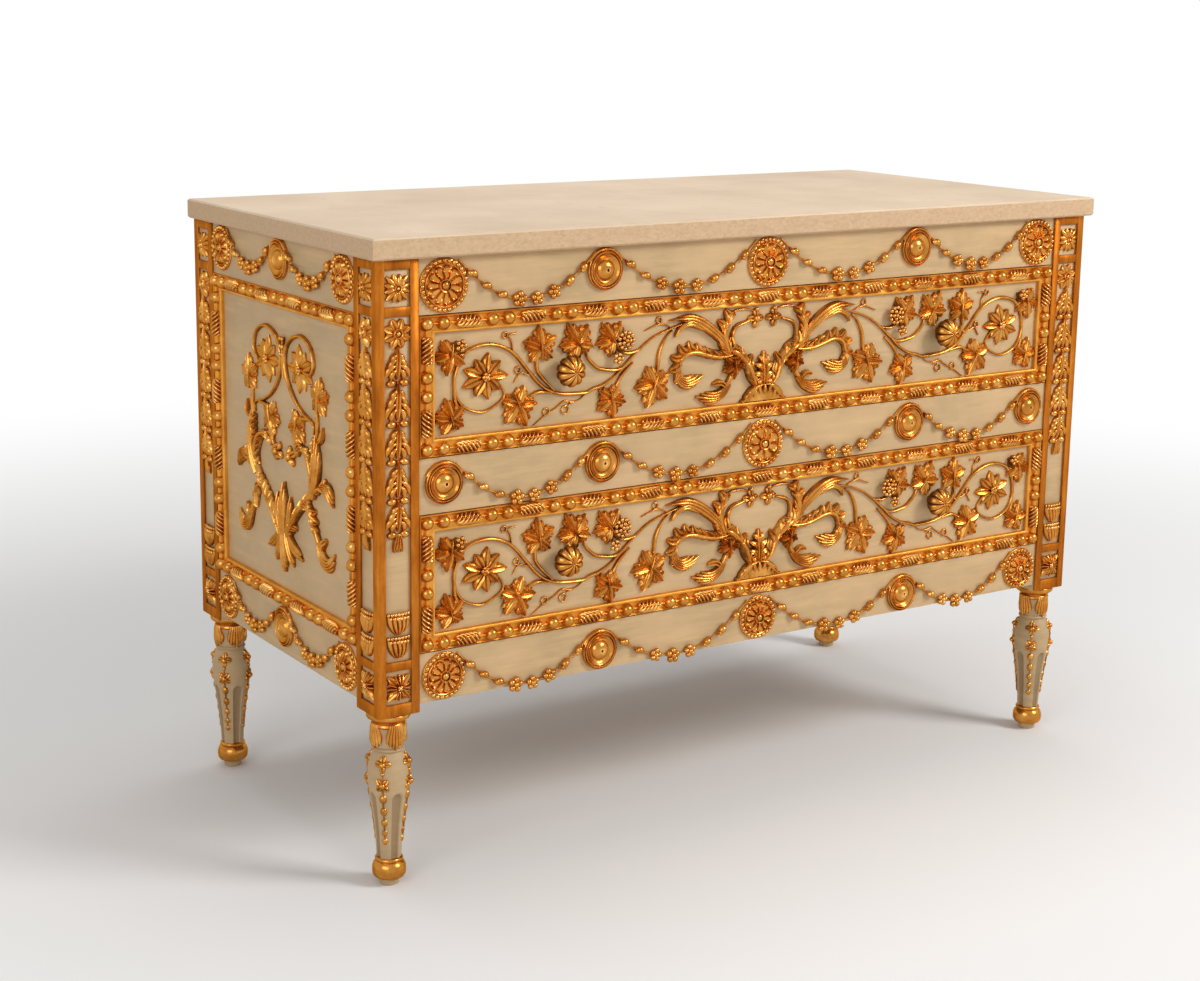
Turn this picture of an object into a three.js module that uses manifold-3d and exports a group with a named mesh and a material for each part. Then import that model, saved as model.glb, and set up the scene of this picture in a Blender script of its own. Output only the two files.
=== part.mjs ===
import * as THREE from 'three';
import { ConvexGeometry } from 'three/addons/geometries/ConvexGeometry.js';
import { mergeVertices } from 'three/addons/utils/BufferGeometryUtils.js';
import Module from 'manifold-3d';

const wasm = await Module();
wasm.setup();

// A painted and gilded commode with a stone top, two drawers and turned legs, in millimetres.
// X runs to the right, Y to the back and Z up. The drawers open towards -Y.
// The origin lies on the floor, in the middle of the whole outline with its knobs.

// Stone slab
const slabWidth = 1350;
const slabDepth = 627;
const slabThickness = 30;
const slabEase = 2.5;
const slabOverhangFront = 11;
const slabOverhangSide = 9.3;
const slabOverhangBack = 1.5;

// Corner posts, with the sunk fields of their outer faces
const postSize = 66;
const postDrop = 11.3;
const postBand = 13;
const postFieldSink = 4;
const postTopBand = 14;
const postTopFieldHeight = 51;
const postBar = 13;
const postBottomFieldHeight = 49;
const postBottomBand = 17.5;
const postPateraRadius = 18;
const postPateraHeight = 5;
const postFlowerRadius = 15;
const postHuskWidth = 25;
const postHuskTipWidth = 5;
const postHuskHeight = 6;
const postBasketWidth = 36;
const postBasketHeight = 7;

// Legs
const legHeight = 259.5;
const legCollarRadius = 31.5;
const legCollarHeight = 9;
const legNeckRadius = 20.5;
const legLeafProud = 5;
const legRingRadius = 24;
const legBodyRadius = 30;
const legBunRadius = 24.5;
const legPegRadius = 14;
const legPegHeight = 11;
const legFluteDepth = 3;
const legFluteAngle = 0.5;
const legDowelRadius = 12;
const legDowelLength = 45;
const dowelClearance = 0.3;

// Rails
const topRailHeight = 79.4;
const middleRailHeight = 79;
const bottomRailHeight = 72.5;
const sideBottomRailHeight = 75;
const railThickness = 26;
const railRecess = 4;

// Boards of the case
const sidePanelThickness = 12;
const backPanelThickness = 12;
const backPanelInset = 3;
const dustBoardThickness = 8;
const runnerWidth = 25;
const runnerHeight = 20;
const kickerHeight = 18;

// Drawers
const drawerHeight = 197.5;
const drawerGap = 1.5;
const drawerRunningGap = 0.3;
const drawerFrontThickness = 18;
const drawerSideInset = 8;
const drawerSideThickness = 12;
const drawerSideDrop = 6;
const drawerBackDrop = 14;
const drawerBackThickness = 12;
const drawerBackClearance = 20;
const drawerBottomThickness = 6;
const drawerBottomLift = 10;
const drawerGrooveDepth = 5;
const grooveClearance = 0.3;

// Melon knobs
const knobRadius = 22.5;
const knobHalfDepth = 16;
const knobNeckRadius = 9;
const knobNeckHeight = 3.5;
const knobSpigotRadius = 6;
const knobLobes = 10;
const knobSpigotSides = 6;
const knobLobeDepth = 2.6;
const knobOffset = 360;
const knobAboveMiddle = 5;

// Bead and reel frames
const frameWidth = 25;
const frameThickness = 10;
const framePride = 1;
const frameOuterLip = 2.5;
const frameInnerLip = 5;
const frameChannelDepth = 4.5;
const beadRadius = 8.5;
const beadProud = 7;
const beadSpacing = 26.5;
const reelLength = 43;
const reelRadius = 8;
const reelRise = 11;
const drawerReelsAcross = 11;
const drawerReelsUp = 2;
const endReelsAcross = 4;
const endReelsUp = 4;

// Garlands
const largeRosetteRadius = 38;
const smallRosetteRadius = 35;
const rosetteThickness = 9;
const roundelRadius = 29.5;
const roundelThickness = 10;
const medallionRim = 4;
const swagDip = 56;
const swagBudWidth = 13;
const swagClusterWidth = 18;
const swagBudHeight = 10;
const swagStringWidth = 3.5;
const swagStringHeight = 2.5;
const swagShoulder = 6;

// Vine carvings
const stemWidth = 6;
const stemHeight = 5;
const scrollWidth = 13;
const scrollHeight = 8;
const trunkWidth = 19;
const leafRadius = 29;
const leafHeight = 7;
const daisyRadius = 31;
const daisyHeight = 9;
const berryRadius = 13;
const berryHeight = 8;
const carvingMargin = 2;

// The gap that an applied piece keeps to the face it is fixed on
const seatGap = 0.3;
const cutOverrun = 5;

// Counts of facets
const legQuadrants = 4;
const knobColumnsPerLobe = 2;
const beadSides = 4;
const daisyPetals = 8;
const leafLobes = 5;
const flowerLobes = 4;
const postPateraLobes = 4;
const rosettePetals = 6;
const roundelColumns = 8;
const budsPerFrontSwag = 10;
const budsPerEndSwag = 7;

// Planes that neighbours share
const postFront = -slabDepth / 2 + slabOverhangFront;
const postBack = slabDepth / 2 - slabOverhangBack;
const postOuter = slabWidth / 2 - slabOverhangSide;
const postInner = postOuter - postSize;
const postFrontInner = postFront + postSize;
const postBackInner = postBack - postSize;
const railsBottom = legHeight + postDrop;
const bottomRailTop = railsBottom + bottomRailHeight;
const middleRailBottom = bottomRailTop + drawerHeight + 2 * drawerGap;
const middleRailTop = middleRailBottom + middleRailHeight;
const topRailBottom = middleRailTop + drawerHeight + 2 * drawerGap;
const postTop = topRailBottom + topRailHeight;
const slabTop = postTop + slabThickness;
const sideBottomRailTop = railsBottom + sideBottomRailHeight;
const frontRailFace = postFront + railRecess;
const frontRailBack = frontRailFace + railThickness;
const endRailFace = postOuter - railRecess;
const endRailBack = endRailFace - railThickness;
const endPanelFace = postOuter + framePride - frameThickness - seatGap;
const drawerFieldFace = postFront - framePride + frameThickness + seatGap;
const backPanelFace = postBack - backPanelInset - backPanelThickness;
const runnerInner = postInner - runnerWidth;
const knobFront = drawerFieldFace - seatGap - knobNeckHeight - 2 * knobHalfDepth;
const originShift = -(Math.min(knobFront, -slabDepth / 2) + slabDepth / 2) / 2;

// Materials, with the colours of the photograph
const stone = new THREE.MeshStandardMaterial({ color: 0xbfa888, roughness: 0.35, metalness: 0 });
const cream = new THREE.MeshStandardMaterial({ color: 0xb99d72, roughness: 0.7, metalness: 0 });
const gilt = new THREE.MeshStandardMaterial({ color: 0xb8772e, roughness: 0.45, metalness: 0.5 });
const bareWood = new THREE.MeshStandardMaterial({ color: 0x9c7a50, roughness: 0.8, metalness: 0 });

// A geometry as a solid that can be joined and cut
function solid(geometry) {
  const bare = geometry.clone();
  for (const name of Object.keys(bare.attributes)) {
    if (name !== 'position') bare.deleteAttribute(name);
  }
  const merged = mergeVertices(bare);
  return new wasm.Manifold(new wasm.Mesh({
    numProp: 3,
    vertProperties: new Float32Array(merged.attributes.position.array),
    triVerts: new Uint32Array(merged.index.array),
  }));
}

// A solid back as a geometry
function geometryOf(body) {
  const mesh = body.getMesh();
  const geometry = new THREE.BufferGeometry();
  geometry.setAttribute('position', new THREE.BufferAttribute(mesh.vertProperties, 3));
  geometry.setIndex(new THREE.BufferAttribute(mesh.triVerts, 1));
  geometry.computeVertexNormals();
  return geometry;
}

function joined(geometries) {
  return geometries.map(solid).reduce((whole, piece) => whole.add(piece));
}

// A board whose faces lie exactly on the planes given, so that it meets its neighbours face to face
function board([x0, x1], [y0, y1], [z0, z1]) {
  const box = new THREE.BoxGeometry(1, 1, 1);
  const corners = box.attributes.position;
  for (let i = 0; i < corners.count; i += 1) {
    const x = corners.getX(i) < 0 ? x0 : x1;
    const y = corners.getY(i) < 0 ? y0 : y1;
    const z = corners.getZ(i) < 0 ? z0 : z1;
    corners.setXYZ(i, x, y, z);
  }
  return box;
}

// A revolved form about Z. The outline runs from the axis at the bottom to the axis at the top,
// and radiusAt may swell or cut each ring at each angle.
function turned(outline, angles, radiusAt = (radius) => radius) {
  const rings = outline.slice(1, -1);
  const points = [0, 0, outline[0][1]];
  rings.forEach(([radius, height], ring) => {
    for (const angle of angles) {
      const reach = radiusAt(radius, ring, angle);
      points.push(reach * Math.cos(angle), reach * Math.sin(angle), height);
    }
  });
  points.push(0, 0, outline[outline.length - 1][1]);
  const count = angles.length;
  const top = 1 + rings.length * count;
  const faces = [];
  for (let j = 0; j < count; j += 1) {
    const next = (j + 1) % count;
    faces.push(0, 1 + next, 1 + j);
    for (let ring = 0; ring < rings.length - 1; ring += 1) {
      const low = 1 + ring * count;
      const high = low + count;
      faces.push(low + j, low + next, high + next, low + j, high + next, high + j);
    }
    faces.push(top, top - count + j, top - count + next);
  }
  const geometry = new THREE.BufferGeometry();
  geometry.setAttribute('position', new THREE.Float32BufferAttribute(points, 3));
  geometry.setIndex(faces);
  return geometry;
}

function evenAngles(count, start = 0) {
  return Array.from({ length: count }, (_, i) => start + (2 * Math.PI * i) / count);
}

// A carved ridge that follows a line of points over a flat ground: its section is a low triangle
function ridge(line, widthAt, heightAt) {
  const last = line.length - 1;
  const points = [];
  const faces = [];
  line.forEach(([u, v], i) => {
    const before = line[Math.max(i - 1, 0)];
    const after = line[Math.min(i + 1, last)];
    const run = Math.hypot(after[0] - before[0], after[1] - before[1]);
    const half = widthAt(i / last) / 2;
    const du = (half * (after[1] - before[1])) / run;
    const dv = (half * (after[0] - before[0])) / run;
    points.push(u - du, v + dv, 0, u, v, heightAt(i / last), u + du, v - dv, 0);
  });
  for (let i = 0; i < last; i += 1) {
    for (let side = 0; side < 3; side += 1) {
      const a = 3 * i + side;
      const b = 3 * i + ((side + 1) % 3);
      faces.push(a, b, b + 3, a, b + 3, a + 3);
    }
  }
  faces.push(0, 2, 1, 3 * last, 3 * last + 1, 3 * last + 2);
  const geometry = new THREE.BufferGeometry();
  geometry.setAttribute('position', new THREE.Float32BufferAttribute(points, 3));
  geometry.setIndex(faces);
  return geometry;
}

// A pointed star of carved lobes that rises to its middle: leaves, daisies and quatrefoils
function lobedStar([u, v], radius, lobes, notchShare, height, turn) {
  const angles = evenAngles(2 * lobes, turn);
  const reachAt = (reach, ring, angle) => {
    const index = Math.round((angle - turn) / (Math.PI / lobes));
    return index % 2 === 0 ? reach : reach * notchShare;
  };
  return turned([[0, 0], [radius, 0], [0, height]], angles, reachAt).translate(u, v, 0);
}

function addMesh(group, name, geometry, material) {
  const mesh = new THREE.Mesh(geometry, material);
  mesh.name = name;
  group.add(mesh);
  return mesh;
}

// Local axes of an applied piece: x along the face, y up, z out of the face
function onFront(mesh, face) {
  mesh.rotation.set(Math.PI / 2, 0, 0);
  mesh.position.set(0, face - seatGap, 0);
}

function onEnd(holder, side, face, middle) {
  holder.rotation.set(0, 0, (side * Math.PI) / 2);
  holder.position.set(side * (face + seatGap), middle, 0);
}

// The slab: a plate with its top and bottom edges eased
function stoneTop() {
  const points = [];
  const levels = [
    [slabEase, postTop],
    [0, postTop + slabEase],
    [0, slabTop - slabEase],
    [slabEase, slabTop],
  ];
  for (const [inset, z] of levels) {
    for (const sx of [-1, 1]) {
      for (const sy of [-1, 1]) {
        points.push(new THREE.Vector3(sx * (slabWidth / 2 - inset), sy * (slabDepth / 2 - inset), z));
      }
    }
  }
  return new ConvexGeometry(points);
}

// The heights of a post's sunk fields: top block, long field and bottom block
function postFields() {
  const topField = postTop - postTopBand;
  const longTop = topField - postTopFieldHeight - postBar;
  const bottomField = legHeight + postBottomBand;
  const longBottom = bottomField + postBottomFieldHeight + postBar;
  return [
    [topField - postTopFieldHeight, topField],
    [longBottom, longTop],
    [bottomField, bottomField + postBottomFieldHeight],
  ];
}

// What lies in the post's long field, as shares of its height
const postFlowerShare = 0.95;
const postHuskShares = [0.809, 0.692, 0.583, 0.469, 0.373];
const postHuskRiseShare = 0.035;
const postDropEndShare = 0.32;
const postBasketShares = [[0.01, 0.5], [0.065, 0.85], [0.085, 0.6], [0.15, 1]];

// The carved ornament of one post face, with x across, y up and z out of the floor of its fields:
// a patera in each block, and a flower, a drop of husks and a basket in the long field
function postOrnament() {
  const [topField, longField, bottomField] = postFields();
  const along = (share) => longField[0] + share * (longField[1] - longField[0]);
  const middle = ([low, high]) => [0, (low + high) / 2];
  const drop = postHuskShares.flatMap((share) => [share + postHuskRiseShare, share - postHuskRiseShare]);
  const dropLine = [...drop, postDropEndShare].map((share) => [0, along(share)]);
  const huskWidthAt = (share) => {
    const isMouth = Math.round(share * (dropLine.length - 1)) % 2 === 1;
    return isMouth ? postHuskWidth : postHuskTipWidth;
  };
  const basketLine = postBasketShares.map(([share]) => [0, along(share)]);
  const basketWidthAt = (share) => {
    const widthShare = postBasketShares[Math.round(share * (postBasketShares.length - 1))][1];
    return widthShare * postBasketWidth;
  };
  const patera = (place, radius, turn) => {
    return lobedStar(place, radius, postPateraLobes, pateraNotchShare, postPateraHeight, turn);
  };
  return [
    patera(middle(topField), postPateraRadius, 0),
    patera([0, along(postFlowerShare)], postFlowerRadius, 0),
    ridge(dropLine, huskWidthAt, () => postHuskHeight),
    ridge(basketLine, basketWidthAt, () => postBasketHeight),
    patera(middle(bottomField), postPateraRadius, Math.PI / 4),
  ];
}

// A post with sunk and carved fields on its outer side face, and on its front face where it stands
// in front. The leg's dowel enters its bottom end.
function post(side, inFront) {
  const half = postSize / 2;
  const xs = side < 0 ? [-postOuter, -postInner] : [postInner, postOuter];
  const ys = inFront ? [postFront, postFrontInner] : [postBackInner, postBack];
  const axis = [side * (postOuter - half), inFront ? postFront + half : postBack - half];
  const turns = inFront ? [0, (side * Math.PI) / 2] : [(side * Math.PI) / 2];
  let body = solid(board(xs, ys, [legHeight, postTop]));
  for (const turn of turns) {
    const placed = (geometry) => solid(geometry.rotateZ(turn).translate(axis[0], axis[1], 0));
    const across = [postBand - half, half - postBand];
    for (const heights of postFields()) {
      body = body.subtract(placed(board(across, [-half - cutOverrun, postFieldSink - half], heights)));
    }
    for (const piece of postOrnament()) {
      body = body.add(placed(piece.rotateX(Math.PI / 2).translate(0, postFieldSink + seatGap - half, 0)));
    }
  }
  const boreTop = legHeight + legDowelLength + dowelClearance;
  const boreRadius = legDowelRadius + dowelClearance;
  const boreLow = legHeight - cutOverrun;
  const outline = [[0, boreLow], [boreRadius, boreLow], [boreRadius, boreTop], [0, boreTop]];
  const bore = turned(outline, legAngles()).translate(axis[0], axis[1], 0);
  return geometryOf(body.subtract(solid(bore)));
}

// Each main face of the leg has a flute, with a column of points on its middle and one on each edge
function legAngles() {
  const offsets = [-legFluteAngle, 0, legFluteAngle];
  return evenAngles(legQuadrants).flatMap((main) => offsets.map((offset) => main + offset));
}

// The turned body and neck of the leg from the foot up: radius and height as shares of the body's
// radius and of the leg's height, and what the main column does there
const legBodyShares = [
  [0.58, 0.155, 'plain'],
  [0.65, 0.19, 'flute'],
  [0.86, 0.42, 'flute'],
  [1, 0.66, 'plain'],
  [0.72, 0.76, 'plain'],
];
const legBunShares = [[0.9, 0], [1, 0.5], [0.8, 1]];
const legBunTopShare = 0.145;
const legRingShare = 0.78;
const legNeckShare = 0.81;
const legLeafShare = 0.9;
const legLeafReachShare = 1.1;

function leg() {
  const collarBottom = legHeight - legCollarHeight;
  const bunHeight = legBunTopShare * legHeight - legPegHeight;
  const rings = [
    [legPegRadius, 0, 'plain'],
    [legPegRadius, legPegHeight, 'plain'],
    ...legBunShares.map(([r, h]) => [r * legBunRadius, legPegHeight + h * bunHeight, 'plain']),
    ...legBodyShares.map(([r, h, kind]) => [r * legBodyRadius, h * legHeight, kind]),
    [legRingRadius, legRingShare * legHeight, 'plain'],
    [legNeckRadius, legNeckShare * legHeight, 'plain'],
    [legLeafReachShare * legNeckRadius, legLeafShare * legHeight, 'leaf'],
    [legCollarRadius, collarBottom, 'plain'],
    [legCollarRadius, legHeight, 'plain'],
    [legDowelRadius, legHeight, 'plain'],
    [legDowelRadius, legHeight + legDowelLength, 'plain'],
  ];
  const outline = [[0, 0], ...rings, [0, legHeight + legDowelLength]];
  const columns = legAngles();
  const reachAt = (radius, ring, angle) => {
    const kind = rings[ring][2];
    const onMain = columns.indexOf(angle) % 3 === 1;
    if (onMain && kind === 'flute') return radius - legFluteDepth;
    if (onMain && kind === 'leaf') return radius + legLeafProud;
    return radius;
  };
  return turned(outline, columns, reachAt);
}

// A moulding frame with a channel that holds a run of beads and reels on each side.
// It is centred on its opening, with its back at z = 0.
function beadFrame(width, height, reelsAcross, reelsUp, pairedUp) {
  const span = (length, inset) => [inset - length / 2, length / 2 - inset];
  const rim = (inset, z) => board(span(width, inset), span(height, inset), z);
  const through = [-cutOverrun, frameThickness + cutOverrun];
  const floor = frameThickness - frameChannelDepth;
  const channelOuter = solid(rim(frameOuterLip, [floor, frameThickness + cutOverrun]));
  const channelInner = solid(rim(frameWidth - frameInnerLip, through));
  let body = solid(rim(0, [0, frameThickness])).subtract(solid(rim(frameWidth, through)));
  body = body.subtract(channelOuter.subtract(channelInner));
  const inset = frameOuterLip + beadRadius;
  const halfAcross = width / 2 - inset;
  const halfUp = height / 2 - inset;
  const rowBeads = beadRun(2 * halfAcross, reelsAcross, true);
  const columnBeads = beadRun(2 * halfUp, reelsUp, pairedUp);
  const pieces = [];
  for (const side of [-1, 1]) {
    const [u, v] = [side * halfAcross, side * halfUp];
    rowBeads.beads.forEach((at) => pieces.push(bead(at - halfAcross, v, floor)));
    rowBeads.reels.forEach((at) => pieces.push(reel(at - halfAcross, v, floor, 0)));
    columnBeads.beads.slice(1, -1).forEach((at) => pieces.push(bead(u, at - halfUp, floor)));
    columnBeads.reels.forEach((at) => pieces.push(reel(u, at - halfUp, floor, Math.PI / 2)));
  }
  return geometryOf(body.add(wasm.Manifold.union(pieces.map(solid))));
}

// Where the beads and reels of one side lie, from corner bead to corner bead
function beadRun(length, reels, paired) {
  const end = paired ? beadSpacing : 0;
  const toReel = (length - 2 * end - (reels - 1) * beadSpacing) / (2 * reels);
  const beads = paired ? [0, end] : [0];
  const reelPlaces = [];
  for (let i = 0; i < reels; i += 1) {
    const start = end + i * (2 * toReel + beadSpacing);
    reelPlaces.push(start + toReel);
    if (i < reels - 1) beads.push(start + 2 * toReel, start + 2 * toReel + beadSpacing);
  }
  beads.push(...(paired ? [length - end, length] : [length]));
  return { beads, reels: reelPlaces };
}

function bead(u, v, floor) {
  const crown = frameThickness + beadProud;
  const low = floor - seatGap;
  return turned([[0, low], [beadRadius, low], [0, crown]], evenAngles(beadSides)).translate(u, v, 0);
}

// A reel tapers from its middle to both ends. Only its upper half stands out of the channel.
function reel(u, v, floor, turn) {
  const half = reelLength / 2;
  const upperSide = [Math.PI / 2, Math.PI, (3 * Math.PI) / 2];
  const body = turned([[0, -half], [reelRadius, 0], [0, half]], upperSide).rotateY(Math.PI / 2);
  return body.scale(1, 1, reelRise / reelRadius).rotateZ(turn).translate(u, v, floor - seatGap);
}

// A round rosette whose fluted petals rise to its middle, by shares of its radius
const rosetteRimShare = 0.96;
const rosetteNotchShare = 0.84;

function rosette([u, v], radius) {
  const outline = [[0, 0], [radius, 0], [rosetteRimShare * radius, medallionRim], [0, rosetteThickness]];
  const petalAt = (reach, ring, angle) => {
    const petal = Math.round(angle / (Math.PI / rosettePetals)) % 2 === 0;
    return ring === 1 && !petal ? reach * rosetteNotchShare : reach;
  };
  return turned(outline, evenAngles(2 * rosettePetals), petalAt).translate(u, v, 0);
}

// A roundel of rings round a domed centre
const roundelRingShares = [0.86, 0.7];
const roundelDishShare = 0.6;

function roundel([u, v]) {
  const [ringReach, ringRise] = roundelRingShares;
  const outline = [
    [0, 0],
    [roundelRadius, 0],
    [ringReach * roundelRadius, ringRise * roundelThickness],
    [roundelDishShare * roundelRadius, medallionRim],
    [0, roundelThickness],
  ];
  return turned(outline, evenAngles(roundelColumns)).translate(u, v, 0);
}

// A swag of buds on a string that hangs in a parabola between two medallions, with fuller clusters of
// berries in its middle
const swagClusterShare = 0.16;

function swag(from, to, buds) {
  const steps = 2 * buds;
  const line = Array.from({ length: steps + 1 }, (_, i) => {
    const share = i / steps;
    const sag = 4 * swagDip * share * (1 - share);
    return [from[0] + share * (to[0] - from[0]), from[1] + share * (to[1] - from[1]) - sag];
  });
  const isBud = (share) => Math.round(share * steps) % 2 === 1;
  const inMiddle = (share) => Math.abs(share - 1 / 2) < swagClusterShare;
  const widthAt = (share) => {
    if (!isBud(share)) return swagStringWidth;
    return inMiddle(share) ? swagClusterWidth : swagBudWidth;
  };
  const heightAt = (share) => (isBud(share) ? swagBudHeight : swagStringHeight);
  return ridge(line, widthAt, heightAt);
}

// A garland: medallions in a row with a swag between each two, all one carved piece
function garland(medallions, buds) {
  const pieces = medallions.map(({ place, radius, kind }) => {
    return kind === 'rosette' ? rosette(place, radius) : roundel(place);
  });
  for (let i = 0; i < medallions.length - 1; i += 1) {
    const [left, right] = [medallions[i], medallions[i + 1]];
    const top = Math.max(left.place[1] + left.radius, right.place[1] + right.radius) - swagShoulder;
    const startAt = left.place[0] + reachAtTop(left, top);
    const endAt = right.place[0] - reachAtTop(right, top);
    pieces.push(swag([startAt, top], [endAt, top], buds));
  }
  return geometryOf(joined(pieces));
}

// How far a medallion reaches sideways where the string leaves it, less a little so that they join
const stringRiseShare = 0.8;

function reachAtTop({ place, radius }, top) {
  const rise = Math.min(top - place[1], stringRiseShare * radius);
  return Math.sqrt(radius * radius - rise * rise) - swagStringWidth;
}

function frontGarland([railBottom, railTop], shares, radii, kinds) {
  const places = shares.map((share) => share * postInner);
  return garland(places.map((u, i) => {
    const radius = radii[i];
    const v = Math.max(railTop - radius - carvingMargin, (railBottom + railTop) / 2);
    return { place: [u, v], radius, kind: kinds[i] };
  }), budsPerFrontSwag);
}

// A ridge whose points are shares of the field it decorates. It swells in the middle of its run.
const sprigEndShare = 0.68;

function sprig(shares, scale, width, height) {
  const swell = (share) => sprigEndShare + (1 - sprigEndShare) * Math.sin(Math.PI * share);
  return ridge(shares.map(([u, v]) => scale(u, v)), (s) => width * swell(s), (s) => height * swell(s));
}

// The drawer's arabesque, as shares of half the field's width from its middle, and of its height
const drawerStemShares = [
  [[0.28, 0.88], [0.345, 0.8], [0.406, 0.647], [0.47, 0.43], [0.564, 0.282], [0.65, 0.3], [0.7, 0.41],
    [0.76, 0.68], [0.82, 0.82], [0.89, 0.83], [0.94, 0.66], [0.944, 0.42], [0.905, 0.23], [0.845, 0.22],
    [0.808, 0.36], [0.835, 0.52]],
  [[0.406, 0.647], [0.44, 0.5], [0.5, 0.48], [0.545, 0.57], [0.567, 0.68]],
  [[0.406, 0.647], [0.44, 0.7]],
  [[0.47, 0.43], [0.484, 0.3]],
  [[0.345, 0.8], [0.35, 0.6], [0.352, 0.42]],
  [[0.65, 0.3], [0.7, 0.5], [0.706, 0.72]],
  [[0.65, 0.3], [0.72, 0.29]],
  [[0.944, 0.42], [0.95, 0.22]],
];
const drawerLeafShares = [
  [0.581, 0.77, 1], [0.46, 0.76, 0.95], [0.489, 0.19, 0.9], [0.352, 0.27, 1.15],
  [0.706, 0.78, 0.95], [0.755, 0.24, 0.95], [0.955, 0.15, 0.75], [0.942, 0.8, 0.8],
];
const drawerDaisyShare = [0.859, 0.542];
const drawerScrollShares = [
  [[0.3, 0.9], [0.25, 0.92], [0.19, 0.82], [0.115, 0.56], [0.1, 0.4], [0.12, 0.18], [0.17, 0.1],
    [0.223, 0.13]],
  [[0.115, 0.56], [0.2, 0.57], [0.262, 0.6], [0.283, 0.45], [0.258, 0.29], [0.212, 0.33]],
  [[0.134, 0.87], [0.13, 0.72], [0.115, 0.56], [0.06, 0.5], [0.035, 0.3], [0, 0.15]],
  [[0.115, 0.56], [0.1, 0.78], [0.03, 0.85]],
];
const drawerFlowerShare = [0.028, 0.85];
const drawerAxisShares = [[0, 0.1], [0, 0.3], [0, 0.52]];
const drawerFootShares = [[-0.08, 0.06], [-0.04, 0.15], [0.04, 0.15], [0.08, 0.06]];

// The carving of the case's ends, in the same way
const endStemShares = [
  [[0.49, 0.62], [0.3, 0.66], [0.168, 0.698], [0.063, 0.762], [0.03, 0.836], [0.105, 0.905], [0.273, 0.925],
    [0.42, 0.9], [0.473, 0.83], [0.4, 0.79], [0.3, 0.81]],
  [[0.49, 0.62], [0.504, 0.73]],
  [[0.3, 0.66], [0.2, 0.61]],
];
const endLeafShares = [[0.504, 0.74, 1], [0.19, 0.602, 1.05]];
const endDaisyShare = [0.275, 0.82];
const endScrollShares = [
  [[0.48, 0.64], [0.527, 0.53], [0.5, 0.43], [0.379, 0.37], [0.231, 0.31], [0.125, 0.27], [0, 0.2]],
  [[0.5, 0.43], [0.43, 0.5], [0.3, 0.53], [0.1, 0.51], [0, 0.508]],
  [[0.5, 0.43], [0.6, 0.43], [0.69, 0.39]],
  [[0.231, 0.31], [0.421, 0.336], [0.5, 0.27], [0.62, 0.205], [0.77, 0.235]],
];
const endBerryShare = [0.0925, 0.506];
const endBudShares = [[0, 0.8], [0, 0.88], [0, 0.92]];
const endBunchShares = [[0, 0.36], [0, 0.28], [0, 0.2]];
const endTasselShares = [[0, 0.24], [0, 0.16], [0, 0.094]];
const endLeafletShares = [[[0, 0.2], [0.14, 0.175], [0.254, 0.145]]];

const daisyNotchShare = 0.45;
const leafNotchShare = 0.55;
const flowerNotchShare = 0.6;
const pateraNotchShare = 0.7;

function leaf(place, size) {
  return lobedStar(place, size * leafRadius, leafLobes, leafNotchShare, leafHeight, Math.PI / 2);
}

function daisy(place) {
  return lobedStar(place, daisyRadius, daisyPetals, daisyNotchShare, daisyHeight, 0);
}

function flower(place) {
  return lobedStar(place, berryRadius, flowerLobes, flowerNotchShare, berryHeight, 0);
}

// Mirrored halves of a carving and what lies on its axis, joined as one piece with its back planed flat
function carving(scale, half, middle) {
  const mirror = (u, v) => {
    const [x, y] = scale(u, v);
    return [-x, y];
  };
  const whole = geometryOf(joined([...half(scale), ...half(mirror), ...middle]));
  const reach = scale(1, 1);
  const plane = board([-reach[0], reach[0]], [0, reach[1]], [-cutOverrun, 0]);
  return geometryOf(solid(whole).subtract(solid(plane)));
}

function drawerCarving(halfWidth, height) {
  const scale = (u, v) => [u * halfWidth, v * height];
  const half = (map) => [
    ...drawerStemShares.map((shares) => sprig(shares, map, stemWidth, stemHeight)),
    ...drawerScrollShares.map((shares) => sprig(shares, map, scrollWidth, scrollHeight)),
    ...drawerLeafShares.map(([u, v, size]) => leaf(map(u, v), size)),
    daisy(map(...drawerDaisyShare)),
    flower(map(...drawerFlowerShare)),
  ];
  const stem = sprig(drawerAxisShares, scale, 2 * scrollWidth, scrollHeight);
  const foot = sprig(drawerFootShares, scale, trunkWidth, scrollHeight);
  return carving(scale, half, [stem, foot]);
}

function endCarving(halfWidth, height) {
  const scale = (u, v) => [u * halfWidth, v * height];
  const half = (map) => [
    ...endStemShares.map((shares) => sprig(shares, map, stemWidth, stemHeight)),
    ...endScrollShares.map((shares) => sprig(shares, map, trunkWidth, scrollHeight)),
    ...endLeafletShares.map((shares) => sprig(shares, map, scrollWidth, stemHeight)),
    ...endLeafShares.map(([u, v, size]) => leaf(map(u, v), size)),
    flower(map(...endBerryShare)),
    daisy(map(...endDaisyShare)),
  ];
  const bud = sprig(endBudShares, scale, trunkWidth, scrollHeight);
  const bunch = sprig(endBunchShares, scale, 2 * trunkWidth, scrollHeight);
  const tassel = sprig(endTasselShares, scale, trunkWidth, scrollHeight);
  return carving(scale, half, [bud, bunch, tassel]);
}

// A knob turned with its spigot. Its axis is z, and the drawer's face is at z = 0.
const knobRingShares = [[0.62, -0.85], [1, -0.15], [0.8, 0.65]];

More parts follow.
